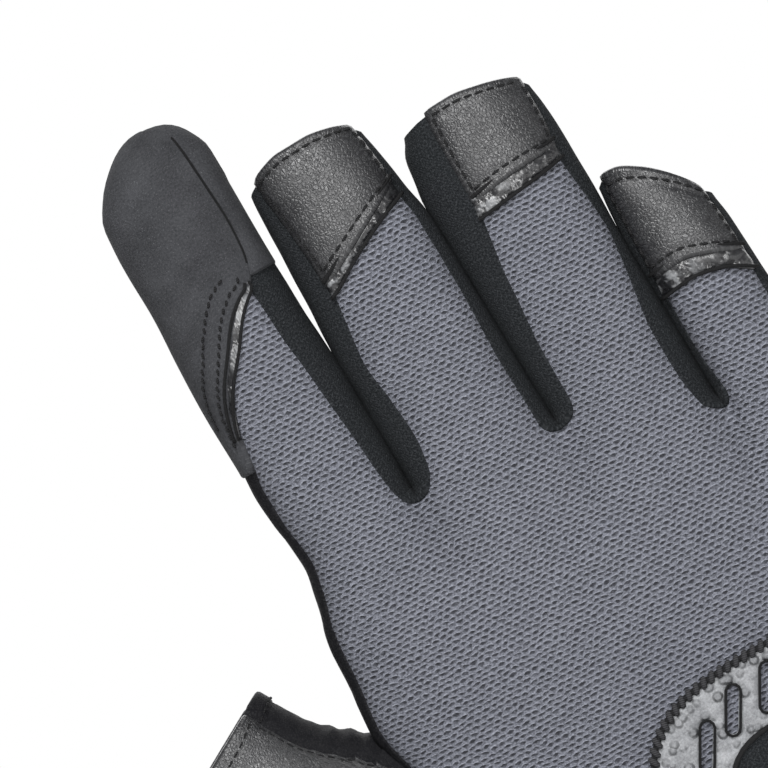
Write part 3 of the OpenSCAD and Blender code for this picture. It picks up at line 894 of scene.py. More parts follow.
for f in FINGERS:
    name = f.name
    for part, a, b in (("base", f.z_hand, f.z_split), ("tip", f.z_split, None)):
        # Back and palm panels.
        if part == "base":
            piece = mesh_panel(f"{name}_base_mesh", *finger_panel(f, a, b, -1))
            join_finger(piece, f, part, f"{name}_base_back")
            cloth, seams = finger_panel(f, a, b, 1)
            sink_leather(cloth, seams)
            piece = shell(f"{name}_base_leather", cloth, PALM_LEATHER, "palm_leather")
            join_finger(piece, f, part, f"{name}_base_palm")
            z = even_rows(a, b, 1.4)
            for which in ("left", "right"):
                material = LEATHER_SIDE if f is INDEX and which == "left" else KNIT_SIDE
                side_piece(f"{name}_base_side_{which}", f, side_strip(f, z, which), part,
                           f"{name}_base_sides", middle_of(f, (a + b) / 2), material)
            continue
        if f is INDEX:
            continue
        top = TOPS[name]
        cloth = patch(f, lambda x, a=a: x * 0 + a, top["mesh"], f.dl, f.dr, -1, 20, 22)
        cloth.face_outward(axis_of(f, cloth.v))
        rim = cloth.v.reshape(23, 21, 3)
        piece = mesh_panel(f"{name}_tip_mesh", cloth, [rim[:, 0], rim[:, -1], rim[-1]], 0.7)
        join_finger(piece, f, part, f"{name}_tip_back")

        cloth = patch(f, lambda x: top["mesh"](x) - 0.5, lambda x: top["cap"](x) + 0.6, f.dl, f.dr, -1, 30, 8)
        cloth.face_outward(axis_of(f, cloth.v))
        rim = cloth.v.reshape(9, 31, 3)
        pillow(cloth, [rim[0], rim[-1], rim[:, 0], rim[:, -1]], 0.25, 0.5, 0.2, 2.0)
        cloth.lift(0.1 + 0.3 * ripple(cloth.v, 2.6, 5.0))
        cloth.uv = cloth.uv - np.array([cloth.uv[:, 0].min(), 0.0])
        join_finger(shell(f"{name}_gloss_trim", cloth, GLOSS, "gloss_trim", 0.8), f, part, f"{name}_trim")
        for which, row, out in (("lower", 0, 0.32), ("upper", -1, 0.5)):
            line = rim[row] + cloth.n.reshape(9, 31, 3)[row] * out
            join_finger(tube(f"{name}_trim_{which}_edge", line, 0.34, BLACK_THREAD), f, part)

        cloth = patch(f, top["cap"], top["end"], f.dl, f.dr, -1, 26, 24)
        cloth.face_outward(axis_of(f, cloth.v))
        rim = cloth.v.reshape(25, 27, 3).copy()
        sides_d = apart(cloth.v, np.vstack([rim[:, 0], rim[:, -1]]))
        end_d = apart(cloth.v, rim[-1])
        low_d = apart(cloth.v, rim[0])
        rise = 0.45 + 0.5 * smooth(0, 7, np.minimum(sides_d, end_d))
        rise += -0.5 * np.exp(-((sides_d / 1.0) ** 2)) - 0.28 * np.exp(-(((end_d - 1.7) / 0.45) ** 2))
        rise += -0.22 * np.exp(-(((low_d - 1.5) / 0.45) ** 2)) + 0.15 * ripple(cloth.v, 5.0, 9.0)
        cloth.lift(rise)
        at_rest = cloth.v.reshape(25, 27, 3)
        join_finger(shell(f"{name}_cap_leather", cloth, CAP, "cap_leather", 1.6, 0.5), f, part, f"{name}_cap")
        n = cloth.n.reshape(25, 27, 3)
        for row in (23 if name != "little" else 22, 2):
            sew(cap_rows, f, at_rest[row, 1:-1] + n[row, 1:-1] * 0.02, n[row, 1:-1])
        for col in (1, 25):
            sew(cap_rows, f, at_rest[2:24, col], n[2:24, col])

        cloth = patch(f, lambda x, a=a: x * 0 + a, lambda x: top["end"](x) - 1.0, f.pl, f.pr, 1, 20, 24)
        cloth.face_outward(axis_of(f, cloth.v))
        rim = cloth.v.reshape(25, 21, 3)
        pillow(cloth, [rim[:, 0], rim[:, -1]], 0.6, 1.4, 0.2, 8.0)
        end_d = apart(cloth.v, rim[-1])
        cloth.lift(0.3 * ripple(cloth.v, 15.0, 7.0) + 0.4 * (1 - smooth(1.6, 2.4, end_d)))
        rim, n = cloth.v.reshape(25, 21, 3), cloth.n.reshape(25, 21, 3)
        sew(cap_rows, f, rim[23, 1:-1], n[23, 1:-1])
        piece = shell(f"{name}_tip_leather", cloth, PALM_LEATHER, "palm_leather", 1.4, 0.5)
        join_finger(piece, f, part, f"{name}_tip_palm")

        for which in ("left", "right"):
            seam = (f.dl if which == "left" else f.dr)(f.z_end)
            z_top = float(top["end"](seam))
            z = even_rows(a, z_top - 0.2, 1.4)
            d, m, p = side_strip(f, z, which)
            m[:, 2] -= 1.2 * smooth(z_top - 6, z_top, m[:, 2])
            p[:, 2] -= 1.0 * smooth(z_top - 6, z_top, p[:, 2])
            side_piece(f"{name}_tip_side_{which}", f, (d, m, p), part, f"{name}_tip_sides",
                       middle_of(f, (a + z_top) / 2))


# ---------------------------------------------------------------- index fingertip

DOME_Z, TIP_Z = 199.0, 214.7


def tip_rows(a, step):
    """Heights up the index finger, closing in over its rounded tip."""
    below = np.linspace(a, DOME_Z, int((DOME_Z - a) / step) + 1)
    turn = np.radians(np.linspace(0, 88, 15))[1:]
    return np.concatenate([below, DOME_Z + (TIP_Z - DOME_Z) * np.sin(turn)])


def tip_share(z):
    """How far each height is round the tip, from 0 to 90 degrees."""
    return np.degrees(np.arcsin(np.clip((z - DOME_Z) / (TIP_Z - DOME_Z), 0, 1)))


TIP_LEFT = curve((0, -48.6), (15, -48.2), (32, -45.9), (55, -41.4), (90, -34.6))
TIP_RIGHT = curve((0, -24.7), (27, -24.7), (44, -26.0), (66, -28.8), (90, -34.4))
TIP_DEEP = curve((0, 1.0), (30, 0.9), (60, 0.58), (80, 0.25), (90, 0.0))


def index_edges(z):
    """The left and right outline of the closed index finger, round its tip too."""
    turn = tip_share(z)
    left = np.where(z > DOME_Z, TIP_LEFT(turn), INDEX.left(z))
    right = np.where(z > DOME_Z, TIP_RIGHT(turn), INDEX.right(z))
    return left, right


def index_point(x, z, side):
    """Points on the closed index finger."""
    x, z = np.broadcast_arrays(np.asarray(x, float), np.asarray(z, float))
    left, right = index_edges(z)
    u = np.clip(np.abs((x - (left + right) / 2) / ((right - left) / 2)), 0, 1)
    tall = INDEX.back(z) * TIP_DEEP(tip_share(z))
    round_tip = tall * (1 - u**FINGER_ROUND) ** (1 / FINGER_ROUND)
    y = np.where(z > 185, round_tip, depth(INDEX, x, z, side))
    return np.stack([x, side * y, z], axis=-1)


# The seam between the two pieces of suede starts at the point where the mesh ends.
MESH_END = 180.4
SEAM = curve((MESH_END, -30.9), (182, -29.9), (187.3, -28.6), (193.4, -28.2), (200, -28.4), (206.5, -28.8),
             (212, -29.8), (TIP_Z, -33.8))
PALM_SHARE = 0.13


def suede_edge(z):
    """The suede's edge on the back: along the mesh, then along the seam."""
    return np.where(z < MESH_END, INDEX.dl(z), SEAM(z))


def index_strip(z, dorsal_x, which):
    """The back seam, middle line and palm seam of one side of the index fingertip."""
    left, right = index_edges(z)
    inward = (right - left) * PALM_SHARE
    out, palm_x = (left, left + inward) if which == "left" else (right, right - inward)
    return index_point(dorsal_x, z, -1), np.stack([out, z * 0, z], axis=-1), index_point(palm_x, z, 1)


def suede_side(z, dorsal_x, which, cols):
    """Suede round one side of the index fingertip, and its two edges."""
    d, m, q = index_strip(z, dorsal_x, which)
    columns = []
    for k in np.linspace(-1, 1, cols):
        e = (d - m) if k < 0 else (q - m)
        columns.append(index_point(m[:, 0] + e[:, 0] * abs(k) ** FINGER_ROUND, z, -1 if k < 0 else 1))
    p = np.stack(columns, axis=1)
    return tip_cloth(p), p[:, 0], p[:, -1]


def tip_cloth(p):
    """A cloth round the index fingertip that faces away from the finger's axis."""
    cloth = grid(p).weld()
    axis = axis_of(INDEX, cloth.v)
    axis[:, 2] = np.minimum(axis[:, 2], DOME_Z)
    return cloth.face_outward(axis)


def sunk(cloth, line, width):
    """How much the suede sinks along a seam. That fades out over the tip."""
    fade = 1 - smooth(203, 211, cloth.v[:, 2])
    return fade * np.exp(-((apart(cloth.v, line) / width) ** 1.5))


a = INDEX.z_split
WRAP_START = 151.0

# The mesh ends in a wedge, with a glossy strip along its upper left.
z = np.linspace(a, MESH_END - 0.1, 30)[:, None]
s = np.linspace(0, 1, 21)[None, :]
p = index_point(INDEX.dl(z) + (INDEX.dr(z) - INDEX.dl(z)) * s, z, -1)
cloth = grid(p, p[:, :, [0, 2]])
cloth.face_outward(axis_of(INDEX, cloth.v))
piece = mesh_panel("index_tip_mesh", cloth, [p[:, 0], p[:, -1]], 0.75, 1.4)
join_finger(piece, INDEX, "tip", "index_trim")

z = np.linspace(157, 181.0, 26)[:, None]
wide = 0.8 + 1.7 * smooth(157, 172, z)
x = np.minimum(INDEX.dl(z) - 0.5 + wide * np.linspace(0, 1, 7)[None, :], INDEX.dr(z) + 0.2)
p = index_point(x, z, -1)
cloth = grid(p)
cloth.face_outward(axis_of(INDEX, cloth.v))
cloth.uv = np.stack([181 - cloth.v[:, 2], cloth.v[:, 0]], axis=-1) * np.array([0.7, 1.0])
cloth.lift(0.12 + 0.22 * ripple(cloth.v, 2.4, 5.0))
join_finger(shell("index_gloss_trim", cloth, GLOSS, "gloss_trim", 0.7), INDEX, "tip")
for which, col, out in (("outer", 0, 0.4), ("inner", -1, 0.3)):
    line = p[:, col] + cloth.n.reshape(26, 7, 3)[:, col] * out
    join_finger(tube(f"index_trim_{which}_edge", line, 0.3, BLACK_THREAD), INDEX, "tip")

# Suede wraps the left side and the tip. It sinks under two rows of stitching near its lower edge.
suede_lines = []
for gap, low in ((1.7, 156), (4.2, 160)):
    z = np.linspace(low, 181.5, 40)
    x = suede_edge(z) - gap * (0.35 + 0.65 * smooth(152, 170, z))
    suede_lines.append(index_point(x, z + gap * 0.75 * smooth(158, 178, z), -1))
wrap_rows = tip_rows(WRAP_START, 1.2)
suede_cloth, back_seam, palm_seam = suede_side(wrap_rows, suede_edge(wrap_rows), "left", 37)
suede_cloth.lift(0.5 - 0.5 * sunk(suede_cloth, back_seam, 0.8) - 0.45 * sunk(suede_cloth, palm_seam, 1.3)
                 + 0.3 * ripple(suede_cloth.v, 16.0, 11.0))
for line in suede_lines:
    suede_cloth.lift(-0.55 * np.exp(-((apart(suede_cloth.v, line) / 0.8) ** 2)))
piece = shell("index_suede_wrap", suede_cloth, SUEDE, "suede", 1.4)
join_finger(piece, INDEX, "tip", "index_tip_wrap", "index_tip_cap")

# Its right side is a second piece of suede, above the knit.
z = np.append(182.0, wrap_rows[wrap_rows > 182.0])
cloth, back_seam, palm_seam = suede_side(z, SEAM(z), "right", 17)
cloth.lift(0.48 - 0.48 * sunk(cloth, back_seam, 0.8) - 0.45 * sunk(cloth, palm_seam, 1.3))
join_finger(shell("index_suede_side", cloth, SUEDE, "suede", 1.3), INDEX, "tip")

z = np.linspace(a, 183.0, 26)
knit_x = np.where(z < MESH_END, INDEX.dr(z), SEAM(z))
side_piece("index_tip_side_right", INDEX, index_strip(z, knit_x, "right"), "tip", "index_tip_sides",
           middle_of(INDEX, 165.0))
z = np.append(rows_to((a, 0.8), (WRAP_START,)), WRAP_START + 0.6)
side_piece("index_tip_side_left", INDEX, index_strip(z, INDEX.dl(z), "left"), "tip", "index_tip_sides",
           middle_of(INDEX, 150.0), LEATHER_SIDE)

# The palm panel widens from the split to its share of the fingertip.
z = np.append(a, tip_rows(a + 1.0, 1.5))[:, None]
s = np.linspace(0, 1, 21)[None, :]
left, right = index_edges(z)
x0 = INDEX.pl(z) + (INDEX.pr(z) - INDEX.pl(z)) * s
x1 = left + (right - left) * (PALM_SHARE + (1 - 2 * PALM_SHARE) * s)
p = index_point(x0 + (x1 - x0) * smooth(149, 160, z), z, 1)
cloth = tip_cloth(p)
sink_leather(cloth, [p[:, 0], p[:, -1]], 0.5, 1.3)
piece = shell("index_tip_leather", cloth, PALM_LEATHER, "palm_leather", 1.3)
join_finger(piece, INDEX, "tip", "index_tip_palm")

# The two rows of stitching lie in the sunk suede, and a fine cord follows the seam.
for line in suede_lines:
    near = nearest(suede_cloth, line)
    line = suede_cloth.v[near] * 0.3 + (line + suede_cloth.n[near] * 0.5) * 0.7
    sew(suede_rows, INDEX, line, suede_cloth.n[near])
z = np.linspace(184, 210.6, 46)
line = index_point(SEAM(z), z, -1)
near = nearest(suede_cloth, line)
raised = 0.05 + 0.5 * smooth(203, 211, z)[:, None]
piece = tube("index_seam", line + suede_cloth.n[near] * raised, 0.24, BLACK_THREAD)
join_finger(piece, INDEX, "tip")

for f, rows in cap_rows.items():
    join_finger(stitches(f"{f.name}_tip_stitches", rows, BLACK_THREAD, 2.2, 1.65, 0.25), f, "tip")
for f, rows in suede_rows.items():
    piece = stitches(f"{f.name}_tip_grey_stitches", rows, BLACK_THREAD, 1.6, 1.2, 0.26, 0.25)
    join_finger(piece, f, "tip")


# ---------------------------------------------------------------- thumb

PIVOT = np.array([-69.8, 0.0, 86.3])
TILT = math.radians(28)
ALONG = np.array([-math.sin(TILT), 0, math.cos(TILT)])
ACROSS = np.array([math.cos(TILT), 0, math.sin(TILT)])
TH_LEFT = curve((-52, 8), (-45, 0), (-30, -9.5), (-12, -14), (0, -14.6), (25, -14.1))
TH_RIGHT = curve((-52, 20), (-36, 22), (-12, 22), (-5, 21), (2.7, 18.8), (7.9, 16.4), (15.2, 14.3),
                 (25, 14.0))
TH_BACK = curve((-52, -6), (-30, -8.5), (0, -8), (25, -6.5))
TH_PALM = curve((-52, 12), (-45, 15), (-30, 18), (-12, 18), (0, 17.5), (25, 17))
THUMB_END = 24.6


def thumb_point(a, w):
    """The thumb's surface at direction a (degrees, 0 towards the hand, 90 the palm) and length w."""
    a, w = np.broadcast_arrays(np.radians(a), np.asarray(w, float))
    c, s = np.cos(a), np.sin(a)
    u = (TH_LEFT(w) + TH_RIGHT(w)) / 2 + (TH_RIGHT(w) - TH_LEFT(w)) / 2 * np.sign(c) * np.abs(c) ** (2 / 2.4)
    y = (TH_BACK(w) + TH_PALM(w)) / 2 + (TH_PALM(w) - TH_BACK(w)) / 2 * np.sign(s) * np.abs(s) ** (2 / 2.4)
    return PIVOT + u[..., None] * ACROSS + w[..., None] * ALONG + y[..., None] * np.array([0, 1.0, 0])


def in_hand(p):
    """Which points lie inside the hand."""
    side = np.where(p[..., 1] < 0, -1, 1)
    x, z = p[..., 0], p[..., 2]
    h = np.where(side < 0, depth(INDEX, x, z, -1), depth(INDEX, x, z, 1))
    return (p[..., 0] > LEFT(p[..., 2])) & (np.abs(p[..., 1]) < h)


def thumb_root(a):
    """The length at which the thumb's surface comes out of the hand."""
    w = np.arange(8, -52, -0.25)
    hit = in_hand(thumb_point(a, w))
    return w[hit.argmax()] - 1.2 if hit.any() else -51.0


THUMB_ROWS = 34


def thumb_panel(a0, a1, cols):
    """A panel of the thumb between two directions, from the hand to the thumb's opening."""
    angles = np.linspace(a0, a1, cols + 1)
    start = np.array([thumb_root(v) for v in angles])
    w = start + (THUMB_END - start) * np.linspace(0, 1, THUMB_ROWS + 1)[:, None]
    p = thumb_point(angles[None, :], w)
    cloth = grid(p)
    axis = PIVOT + ALONG * ((cloth.v - PIVOT) @ ALONG)[:, None]
    cloth.face_outward(axis + ACROSS * 3 + np.array([0, 5.0, 0]))
    return cloth, p


def on_thumb(piece):
    """Fixes a piece where it was made; it is not blended over the thumb's joint."""
    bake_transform(piece)


def wrinkles(cloth, deep):
    """Folds across the thumb's root."""
    w = (cloth.v - PIVOT) @ ALONG
    u = (cloth.v - PIVOT) @ ACROSS
    at = np.exp(-(((w - 3) / 8) ** 2)) * smooth(-6, 14, u)
    return deep * at * np.sin(w * 1.9 + u * 0.5 + 1.5 * ripple(cloth.v, 9.0, 3.0))


thumb_stitch = []
for name, a0, a1, cols, material, slot, node in (
    ("thumb_back_leather", 208, 316, 26, CAP, "cap_leather", "thumb_back"),
    ("thumb_web_strip", 316, 405, 20, SMOOTH_LEATHER, "palm_leather", "thumb_gusset"),
    ("thumb_palm_leather", 45, 152, 24, PALM_LEATHER, "palm_leather", "thumb_palm"),
    ("thumb_outer_strip", 152, 208, 14, SMOOTH_LEATHER, "palm_leather", "thumb_sides"),
):
    cloth, p = thumb_panel(a0, a1, cols)
    end_d = apart(cloth.v, p[-1])
    pillow(cloth, [p[:, 0], p[:, -1]], 0.6, 1.3, 0.3, 7.0)
    cloth.lift(wrinkles(cloth, 0.45) + 0.25 * ripple(cloth.v, 13.0, 6.0)
               + 0.45 * (1 - smooth(2.4, 3.2, end_d)) - 0.2 * np.exp(-(((end_d - 3.0) / 0.4) ** 2)))
    piece = shell(name, cloth, material, slot, 1.4, 0.5)
    on_thumb(piece)
    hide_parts(node)
    shape, normals = (q.reshape(THUMB_ROWS + 1, cols + 1, 3) for q in (cloth.v, cloth.n))
    row_step = np.linalg.norm(p[-1, cols // 2] - p[-2, cols // 2])
    hem_row = int(round(THUMB_ROWS - 2.2 / row_step))
    thumb_stitch.append((shape[hem_row], normals[hem_row]))
    if name == "thumb_back_leather":
        for col in (cols - 1, 1):
            thumb_stitch.append((shape[8:33, col], normals[8:33, col]))
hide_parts("thumb_hem")
piece = stitches("thumb_stitches", thumb_stitch, BLACK_THREAD, 2.0, 1.4, 0.18)
on_thumb(piece)


# ---------------------------------------------------------------- cuff

def cuff_point(a, z, out=0.0):
    """The cuff's surface at direction a in degrees, moved outwards by out."""
    a, z = np.broadcast_arrays(np.radians(a), np.asarray(z, float))
    c, s = np.cos(a), np.sin(a)
    power = 2 / HAND_ROUND
    x = (LEFT(z) + RIGHT(z)) / 2 + ((RIGHT(z) - LEFT(z)) / 2 + out) * np.sign(c) * np.abs(c) ** power
    tall = np.where(s < 0, BACK(z), PALM(z)) + out
    y = tall * np.sign(s) * np.abs(s) ** power
    return np.stack([x, y, z], axis=-1)


def cuff_panel(a0, a1, z0, z1, cols, rows, out=0.0):
    p = cuff_point(np.linspace(a0, a1, cols + 1)[None, :], np.linspace(z0, z1, rows + 1)[:, None], out)
    cloth = grid(p)
    cloth.face_outward(np.array([0.0, 0.0, (z0 + z1) / 2]))
    return cloth, p


for node, a0, a1 in (("cuff_back", 180, 360), ("cuff_palm", 0, 180)):
    cloth, p = cuff_panel(a0, a1, 1.5, 57.0, 60, 26)
    pillow(cloth, [p[:, 0], p[:, -1], p[-1]], 0.5, 1.5, 0.2, 6.0)
    cloth.lift(0.35 * ripple(cloth.v, 17.0, 13.0))
    ride(shell(f"{node}_panel", cloth, NEOPRENE, "neoprene", 2.2), "hand", node)

# The tape folds over the cuff's edge, from outside to inside.
angles = np.linspace(0, 360, 121)
TAPE = ((6.0, 0.15), (5.6, 0.75), (3.5, 0.95), (1.2, 0.95), (-0.1, 0.2), (-0.5, -1.0), (0.0, -2.4),
        (2.0, -3.0), (6.0, -2.9))
cloth = grid(np.stack([cuff_point(angles, z, out) for z, out in TAPE])).weld()
cloth.face_outward(np.array([0.0, 0.0, 3.0]))
ride(shell("cuff_edge_tape", cloth, BINDING, "binding", 0.5), "hand", "cuff_binding")
angles = angles[:-1]
hand_stitch = [(cuff_point(angles, 4.9, 1.0), cuff_point(angles, 5.0, 2.0) - cuff_point(angles, 5.0, 0.0))]
for angles in (np.linspace(182, 358, 150), np.linspace(2, 178, 150)):
    top_line = cuff_point(angles, 55.2, 0.05)
    hand_stitch.append((top_line, cuff_point(angles, 55.2, 1.0) - top_line))


# ---------------------------------------------------------------- closure

STRAP_LOW, STRAP_HIGH = 14.0, 42.0


def strap_piece(name, a0, a1, low, high, t, out, material, slot, ends=(0, 0), cols=60, rows=12):
    """A layer of the closure round the back of the wrist, with its corners rounded."""
    a = np.linspace(a0, a1, cols + 1)
    r = np.linspace(0, 1, rows + 1)[:, None]
    middle, half = (low + high) / 2, (high - low) / 2
    span = np.concatenate([[0], np.cumsum(np.linalg.norm(np.diff(cuff_point(a, middle), axis=0), axis=1))])
    round_l = np.clip(1 - span / max(ends[0], 1e-6), 0, 1) if ends[0] else span * 0
    round_r = np.clip(1 - (span[-1] - span) / max(ends[1], 1e-6), 0, 1) if ends[1] else span * 0
    narrow = half - max(ends) * (1 - np.sqrt(1 - np.maximum(round_l, round_r) ** 2))
    z = middle + narrow[None, :] * (2 * r - 1)
    p = cuff_point(a[None, :], z, out)
    cloth = grid(p)
    cloth.face_outward(np.array([0.0, 0.0, middle]))
    edge = [p[0], p[-1], p[:, 0], p[:, -1]]
    pillow(cloth, edge, 0.25, 0.9, 0.15, 5.0)
    return shell(name, cloth, material, slot, t, 0.4), cloth


def on_strap(piece):
    """Fixes a piece where it was made; it is not blended over the strap's hinge."""
    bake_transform(piece)


LOOP_OUT, HOOK_OUT, STRAP_OUT, TAB_OUT = 1.1, 2.35, 4.7, 6.25
piece, _ = strap_piece("strap_loop_patch", 212, 318, STRAP_LOW + 3, STRAP_HIGH - 3, 0.9, LOOP_OUT, LOOP_PILE,
                       "loop_pile", (4, 4))
ride(piece, "hand", "loop_patch")
piece, _ = strap_piece("strap_hook_tape", 216, 262, STRAP_LOW + 3, STRAP_HIGH - 3, 0.9, HOOK_OUT, HOOK,
                       "hook_tape", (3, 3), 30)
ride(piece, "strap", "strap_hook_patch")
piece, cloth = strap_piece("strap_webbing", 212, 354, STRAP_LOW, STRAP_HIGH, 1.9, STRAP_OUT, WEBBING,
                           "webbing", (6, 0), 90, 16)
on_strap(piece)
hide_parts("strap")
shape, normals = cloth.v.reshape(17, 91, 3), cloth.n.reshape(17, 91, 3)
strap_stitch = [(shape[row, 8:88], normals[row, 8:88]) for row in (1, 15)]
strap_stitch += [(shape[2:15, col], normals[2:15, col]) for col in (24, 86)]
on_strap(stitches("strap_stitches", strap_stitch, GREY_THREAD, 2.4, 1.7, 0.2))
piece, _ = strap_piece("strap_pull_tab", 214, 236, STRAP_LOW + 4, STRAP_HIGH - 4, 1.2, TAB_OUT, TAB_RUBBER,
                       "grip_patch", (5, 5), 40, 30)
ride(piece, "strap", "strap_tab")
piece, _ = strap_piece("strap_sewn_end", 341, 354, STRAP_LOW + 1, STRAP_HIGH - 1, 2.7, STRAP_OUT - 1.85,
                       WEBBING, "webbing", (0, 0), 12, 10)
ride(piece, "hand", "strap_anchor")

# The pull loop is one turn of webbing, sewn to the cuff with two rows of stitches.
LOOP_TURN = np.array([
    (21.3, 14.0), (21.8, 9.0), (22.4, 4.0), (23.0, 0.0), (23.2, -5.0), (23.3, -9.5), (23.9, -11.3),
    (24.9, -11.9), (26.0, -11.2), (26.5, -9.0), (26.2, -4.0), (25.0, 1.0), (24.0, 5.0), (23.3, 9.0),
    (22.8, 14.0)])
LOOP_HALF_WIDTH = 5
steps = np.linspace(0, len(LOOP_TURN) - 1, 60)
path = [np.interp(steps, np.arange(len(LOOP_TURN)), LOOP_TURN[:, k]) for k in range(2)]
y, z = (np.convolve(np.pad(q, 2, mode="edge"), np.ones(5) / 5, mode="valid")[:, None] for q in path)
wide = np.linspace(-LOOP_HALF_WIDTH, LOOP_HALF_WIDTH, 9)
cloth = grid(np.stack(np.broadcast_arrays(wide, y, z), axis=-1))
cloth.face_outward(np.array([0.0, 24.8, -4.0]))
ride(shell("pull_loop_webbing", cloth, WEBBING, "webbing", 1.0), "hand", "pull_loop")
for z0, y0 in ((8.0, 23.6), (12.5, 23.2)):
    row = np.stack(np.broadcast_arrays(np.linspace(-4, 4, 10), y0, z0), axis=-1)
    hand_stitch.append((row, np.tile([0.0, 1.0, 0.0], (10, 1))))


# ---------------------------------------------------------------- arched grip patch and palm pads

ARCH_X, ARCH_FOOT, ARCH_TOP, ARCH_HALF, ARCH_BAND, ARCH_N = 12.0, 50.0, 76.0, 27.5, 12.5, 3.0
SLOT_PITCH, SLOT_W, SLOT_L, SLOT_LEAN = 7.4, 2.7, 9.4, math.radians(31)


def hump(w, h, steps=90):
    """The arch's outline, with half width w and rise h, as x and z."""
    a = np.linspace(0, math.pi, steps)
    c, s = np.cos(a), np.sin(a)
    x = ARCH_X + w * np.sign(c) * np.abs(c) ** (2 / ARCH_N)
    return np.stack([x, ARCH_FOOT + h * s ** (2 / ARCH_N)], axis=-1)


def inside(points, loop):
    """Which points lie inside a closed outline."""
    x, y = points[:, 0], points[:, 1]
    hit = np.zeros(len(points), bool)
    for (x0, y0), (x1, y1) in zip(loop, np.roll(loop, -1, 0)):
        crosses = (y0 > y) != (y1 > y)
        hit ^= crosses & (x < (x1 - x0) * (y - y0) / ((y1 - y0) or 1e-9) + x0)
    return hit


def resample(loop, step):
    """A closed outline with points about step apart."""
    loop = np.vstack([loop, loop[:1]])
    s = np.concatenate([[0], np.cumsum(np.linalg.norm(np.diff(loop, axis=0), axis=1))])
    at = np.linspace(0, s[-1], max(8, int(s[-1] / step)) + 1)[:-1]
    return np.stack([np.interp(at, s, loop[:, k]) for k in range(2)], axis=1)


def cut_cloth(outer, holes, step, lift_to, side):
    """A cloth cut to an outline with holes, laid on the surface given by lift_to(x, z)."""
    loops = [resample(outer, step)] + [resample(h, min(step, 0.5)) for h in holes]
    low, high = loops[0].min(0), loops[0].max(0)
    gx, gz = np.meshgrid(np.arange(low[0], high[0], step), np.arange(low[1], high[1], step))
    gx[::2] += step / 2
    dots = np.stack([gx.ravel(), gz.ravel()], axis=1)
    keep = inside(dots, loops[0])
    for h in loops[1:]:
        keep &= ~inside(dots, h)
    dots = dots[keep]
    rims = np.vstack(loops)
    near = np.array([np.min(np.sum((rims - q) ** 2, axis=1)) for q in dots])
    dots = dots[near > (step * 0.45) ** 2]
    points, edges, at = list(dots), [], len(dots)
    for loop in loops:
        n = len(loop)
        points += list(loop)
        edges += [(at + k, at + (k + 1) % n) for k in range(n)]
        at += n
    out = delaunay_2d_cdt([Vector(q) for q in points], edges, [], 0, 1e-6)
    v2 = np.array([tuple(q) for q in out[0]])
    faces = np.array([list(q) for q in out[2]])
    centre = v2[faces].mean(1)
    good = inside(centre, loops[0])
    for h in loops[1:]:
        good &= ~inside(centre, h)
    faces = faces[good]
    faces = np.hstack([faces, faces[:, 2:3]])
    y = lift_to(v2[:, 0], v2[:, 1])
    cloth = Cloth(np.stack([v2[:, 0], side * y, v2[:, 1]], axis=-1), faces, v2)
    a, b, c = (cloth.v[cloth.f[:, i]] for i in range(3))
    normal = np.cross(b - a, c - a)
    n = np.zeros_like(cloth.v)
    for i in range(3):
        np.add.at(n, cloth.f[:, i], normal)
    n /= np.maximum(np.linalg.norm(n, axis=1), 1e-12)[:, None]
    if np.sum(n[:, 1] * side) < 0:
        n = -n
        cloth.f = np.stack([cloth.f[:, 1], cloth.f[:, 0], cloth.f[:, 2], cloth.f[:, 2]], axis=1)
    cloth.n = n
    return cloth, loops


def low_back(x, z):
    """The back of the hand and cuff, as one smooth surface."""
    return depth(RING, x, z, -1)


def laid(loop, surface, side, out=0.0):
    """An outline in x and z laid on a surface, and moved outwards by out."""
    return np.stack([loop[:, 0], side * (surface(loop[:, 0], loop[:, 1]) + out), loop[:, 1]], axis=-1)


outer = hump(ARCH_HALF, ARCH_TOP - ARCH_FOOT)
inner = hump(ARCH_HALF - ARCH_BAND, ARCH_TOP - ARCH_FOOT - ARCH_BAND)
arch_outline = np.vstack([outer, inner[::-1]])
mid = ARCH_BAND / 2
slots = []
for i in range(-2, 3):
    x0 = ARCH_X + i * SLOT_PITCH
    share = (1 - abs(i * SLOT_PITCH / (ARCH_HALF - mid)) ** ARCH_N) ** 0.5
    z0 = ARCH_FOOT + (ARCH_TOP - ARCH_FOOT - mid) * share
    turn = np.radians(np.linspace(0, 360, 25)[:-1])
    long = (SLOT_L - SLOT_W) / 2
    px = SLOT_W / 2 * np.cos(turn)
    pz = SLOT_W / 2 * np.sin(turn) + long * np.sign(np.sin(turn) + 1e-9)
    slots.append(np.stack([x0 + px * math.cos(SLOT_LEAN) + pz * math.sin(SLOT_LEAN),
                           z0 - px * math.sin(SLOT_LEAN) + pz * math.cos(SLOT_LEAN)], axis=-1))
cloth, loops = cut_cloth(arch_outline, slots, 0.62, low_back, -1)
px, pz = cloth.v[:, 0], cloth.v[:, 2]
SCALE = 2.7
row = np.round(pz / (SCALE * 0.8))
cx = (np.round(px / SCALE - (row % 2) / 2) + (row % 2) / 2) * SCALE
d = np.sqrt(((px - cx) / (SCALE * 0.5)) ** 2 + ((pz - row * SCALE * 0.8 + 0.35) / (SCALE * 0.46)) ** 2)
emboss = 0.7 * (1 - smooth(0.3, 1.0, d))
rim_d = apart(cloth.v, np.vstack([laid(q, low_back, -1) for q in loops]))
cloth.lift(1.2 + emboss * smooth(0.3, 1.4, rim_d) - 0.5 * np.exp(-((rim_d / 0.5) ** 2)))
ride(shell("arch_grip_patch", cloth, GRIP, "grip_patch", 1.2, 0.3), "hand", "back_patch")

